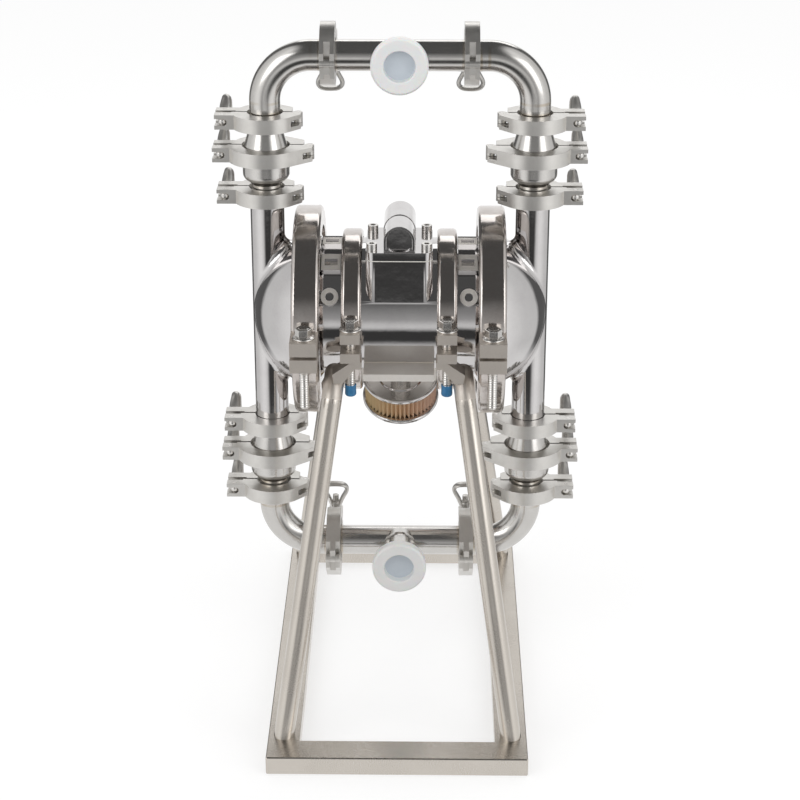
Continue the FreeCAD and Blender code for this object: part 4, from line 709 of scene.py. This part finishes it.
stageLook = {"floorSpan": 8.0, "floorTone": 0.52, "floorGlow": 0.55, "worldTone": 0.8}


def grey(tone):
    return (tone, tone, tone, 1)


def seenRays(material):
    # 1 for camera, transmission and glossy rays, which see the pale background, and 0 for the light on the object
    light = addNode(material, "ShaderNodeLightPath").outputs
    seen = addNode(material, "ShaderNodeMath", {"operation": "MAXIMUM"},
                   {0: light["Is Camera Ray"], 1: light["Is Transmission Ray"]}).outputs[0]
    return addNode(material, "ShaderNodeMath", {"operation": "MAXIMUM"},
                   {0: seen, 1: light["Is Glossy Ray"]}).outputs[0]


def floor():
    shape = bmesh.new()
    bmesh.ops.create_grid(shape, x_segments=1, y_segments=1, size=stageLook["floorSpan"])
    piece = pieceFrom(shape, "floor")
    material = newMaterial("paleFloor")
    share = addNode(material, "ShaderNodeMath", {"operation": "MULTIPLY", 1: stageLook["floorGlow"]},
                    {0: seenRays(material)}).outputs[0]
    glow = addNode(material, "ShaderNodeEmission", {"Color": grey(1)}, {"Strength": share})
    matt = addNode(material, "ShaderNodeBsdfDiffuse", {"Color": grey(stageLook["floorTone"])})
    finishMaterial(material, addNode(material, "ShaderNodeAddShader", {}, {0: matt.outputs[0], 1: glow.outputs[0]}))
    piece.data.materials.append(material)


def world():
    # even white all round, which is also the white background
    sky = bpy.data.worlds.new("studio")
    bpy.context.scene.world = sky
    sky.use_nodes = True
    sky.node_tree.nodes.clear()
    room = addNode(sky, "ShaderNodeMix", {"data_type": "RGBA", 6: grey(stageLook["worldTone"]), 7: grey(1)},
                   {"Factor": seenRays(sky)})
    back = addNode(sky, "ShaderNodeBackground", {"Strength": 1.0}, {"Color": room.outputs[2]})
    finish = addNode(sky, "ShaderNodeOutputWorld")
    sky.node_tree.links.new(back.outputs[0], finish.inputs["Surface"])


# grey screens round the stage that only the steel mirrors, in metres
screenLook = {
    "middle": 0.45, "far": 7.4, "clothLift": 0.0004,
    "strip": (0.20, 0.46),  # inside it the tone goes by height, outside it by the angle from the front
    "clothNear": (0.50, 0.95), "nearTone": 0.9,
    # angle in degrees and tone: round the object from the front, and from the floor behind over the front to the back
    "byAzimuth": [(0, 0.09), (12, 0.09), (17, 0.14), (24, 0.4), (33, 0.78), (47, 1.0), (62, 1.0), (92, 0.76),
                  (119, 0.7), (126, 0.12), (155, 0.12), (163, 1.0), (180, 1.0)],
    "overhead": [(-180, 1.0), (-100, 1.0), (-88, 0.06), (-13.5, 0.05), (-10, 0.55), (-7.5, 0.75), (-4, 0.7), (4, 0.42),
                 (20, 0.26), (32, 0.09), (140, 0.09), (154, 1.0), (180, 1.0)],
}


def toneRamp(material, angle, stops, low):
    # tone over an angle that runs from low to 180 degrees
    share = addNode(material, "ShaderNodeMapRange", {"From Min": math.radians(low), "From Max": math.pi},
                    {"Value": angle})
    node = addNode(material, "ShaderNodeValToRGB", {}, {"Fac": share.outputs[0]})
    while len(node.color_ramp.elements) < len(stops):
        node.color_ramp.elements.new(0.5)
    for element, (degrees, tone) in zip(node.color_ramp.elements, stops):
        element.position = (degrees - low) / (180 - low)
        element.color = grey(tone)
    return node.outputs[0]


def screenTone(material):
    place = addNode(material, "ShaderNodeTexCoord").outputs["Object"]
    away = addNode(material, "ShaderNodeVectorMath", {"operation": "SUBTRACT", 1: (0, 0, screenLook["middle"])},
                   {0: place})
    way = addNode(material, "ShaderNodeVectorMath", {"operation": "NORMALIZE"}, {0: away.outputs[0]})
    x, y, z = addNode(material, "ShaderNodeSeparateXYZ", {}, {0: way.outputs[0]}).outputs
    wide = addNode(material, "ShaderNodeMath", {"operation": "ABSOLUTE"}, {0: x}).outputs[0]
    front = addNode(material, "ShaderNodeMath", {"operation": "MULTIPLY", 1: -1}, {0: y}).outputs[0]
    azimuth = addNode(material, "ShaderNodeMath", {"operation": "ARCTAN2"}, {0: wide, 1: front}).outputs[0]
    rise = addNode(material, "ShaderNodeMath", {"operation": "ARCTAN2"}, {0: z, 1: front}).outputs[0]
    around = toneRamp(material, azimuth, screenLook["byAzimuth"], 0)
    over = toneRamp(material, rise, screenLook["overhead"], -180)
    low, high = screenLook["strip"]
    side = addNode(material, "ShaderNodeMapRange",
                   {"interpolation_type": "SMOOTHSTEP", "From Min": low, "From Max": high},
                   {"Value": wide}).outputs[0]
    tone = addNode(material, "ShaderNodeMix", {"data_type": "RGBA"}, {"Factor": side, 6: over, 7: around}).outputs[2]
    # the floor close to the object stays pale
    plan = addNode(material, "ShaderNodeVectorMath", {"operation": "LENGTH"}, {0: place}).outputs["Value"]
    near, far = screenLook["clothNear"]
    beyond = addNode(material, "ShaderNodeMapRange",
                     {"interpolation_type": "SMOOTHSTEP", "From Min": near, "From Max": far},
                     {"Value": plan}).outputs[0]
    return addNode(material, "ShaderNodeMix", {"data_type": "RGBA", 6: grey(screenLook["nearTone"])},
                   {"Factor": beyond, 7: tone}).outputs[2]


def screens():
    # a dome over the stage and a cloth on its floor
    material = newMaterial("greyScreen")
    glow = addNode(material, "ShaderNodeEmission", {"Strength": 1.0}, {"Color": screenTone(material)})
    finishMaterial(material, glow)
    dome, cloth = bmesh.new(), bmesh.new()
    bmesh.ops.create_uvsphere(dome, u_segments=48, v_segments=24, radius=screenLook["far"])
    bmesh.ops.create_grid(cloth, x_segments=1, y_segments=1, size=screenLook["far"],
                          matrix=Matrix.Translation((0, 0, screenLook["clothLift"])))
    for name, shape in (("screenDome", dome), ("floorCloth", cloth)):
        piece = pieceFrom(shape, name)
        piece.data.materials.append(material)
        piece.visible_camera = piece.visible_diffuse = piece.visible_shadow = piece.visible_transmission = False


def putUp(body, look):
    # links a lamp or the camera in its place, turned to what it aims at
    bpy.context.scene.collection.objects.link(body)
    body.location = look["at"]
    body.rotation_mode = "QUATERNION"
    body.rotation_quaternion = (Vector(look["aim"]) - Vector(look["at"])).to_track_quat("-Z", "Y")


softBoxes = {  # places and sizes in metres, power in watts
    "left": {"at": (-1.9, -1.9, 1.9), "aim": (0, 0, 0.45), "size": (1.6, 2.0), "power": 13},
    "right": {"at": (2.0, -1.7, 1.5), "aim": (0, 0, 0.45), "size": (1.4, 2.0), "power": 10},
    "back": {"at": (0.3, 2.2, 2.4), "aim": (0, 0, 0.5), "size": (2.0, 0.8), "power": 8},
}


def lamps():
    for name, look in softBoxes.items():
        lamp = bpy.data.lights.new(name, "AREA")
        lamp.shape = "RECTANGLE"
        lamp.size, lamp.size_y = look["size"]
        lamp.energy = look["power"]
        putUp(bpy.data.objects.new(name, lamp), look)


cameraLook = {"at": (0.034, -2.5786, 1.4862), "aim": (0, 0, 0.3736), "lens": 97.95, "sensor": 36}  # metres and mm


def camera():
    eye = bpy.data.cameras.new("camera")
    eye.lens = cameraLook["lens"]
    eye.sensor_width = cameraLook["sensor"]
    body = bpy.data.objects.new("camera", eye)
    putUp(body, cameraLook)
    bpy.context.scene.camera = body


floor()
world()
screens()
lamps()
camera()
bpy.context.scene.view_settings.view_transform = "Standard"
print("stage, light and camera set")
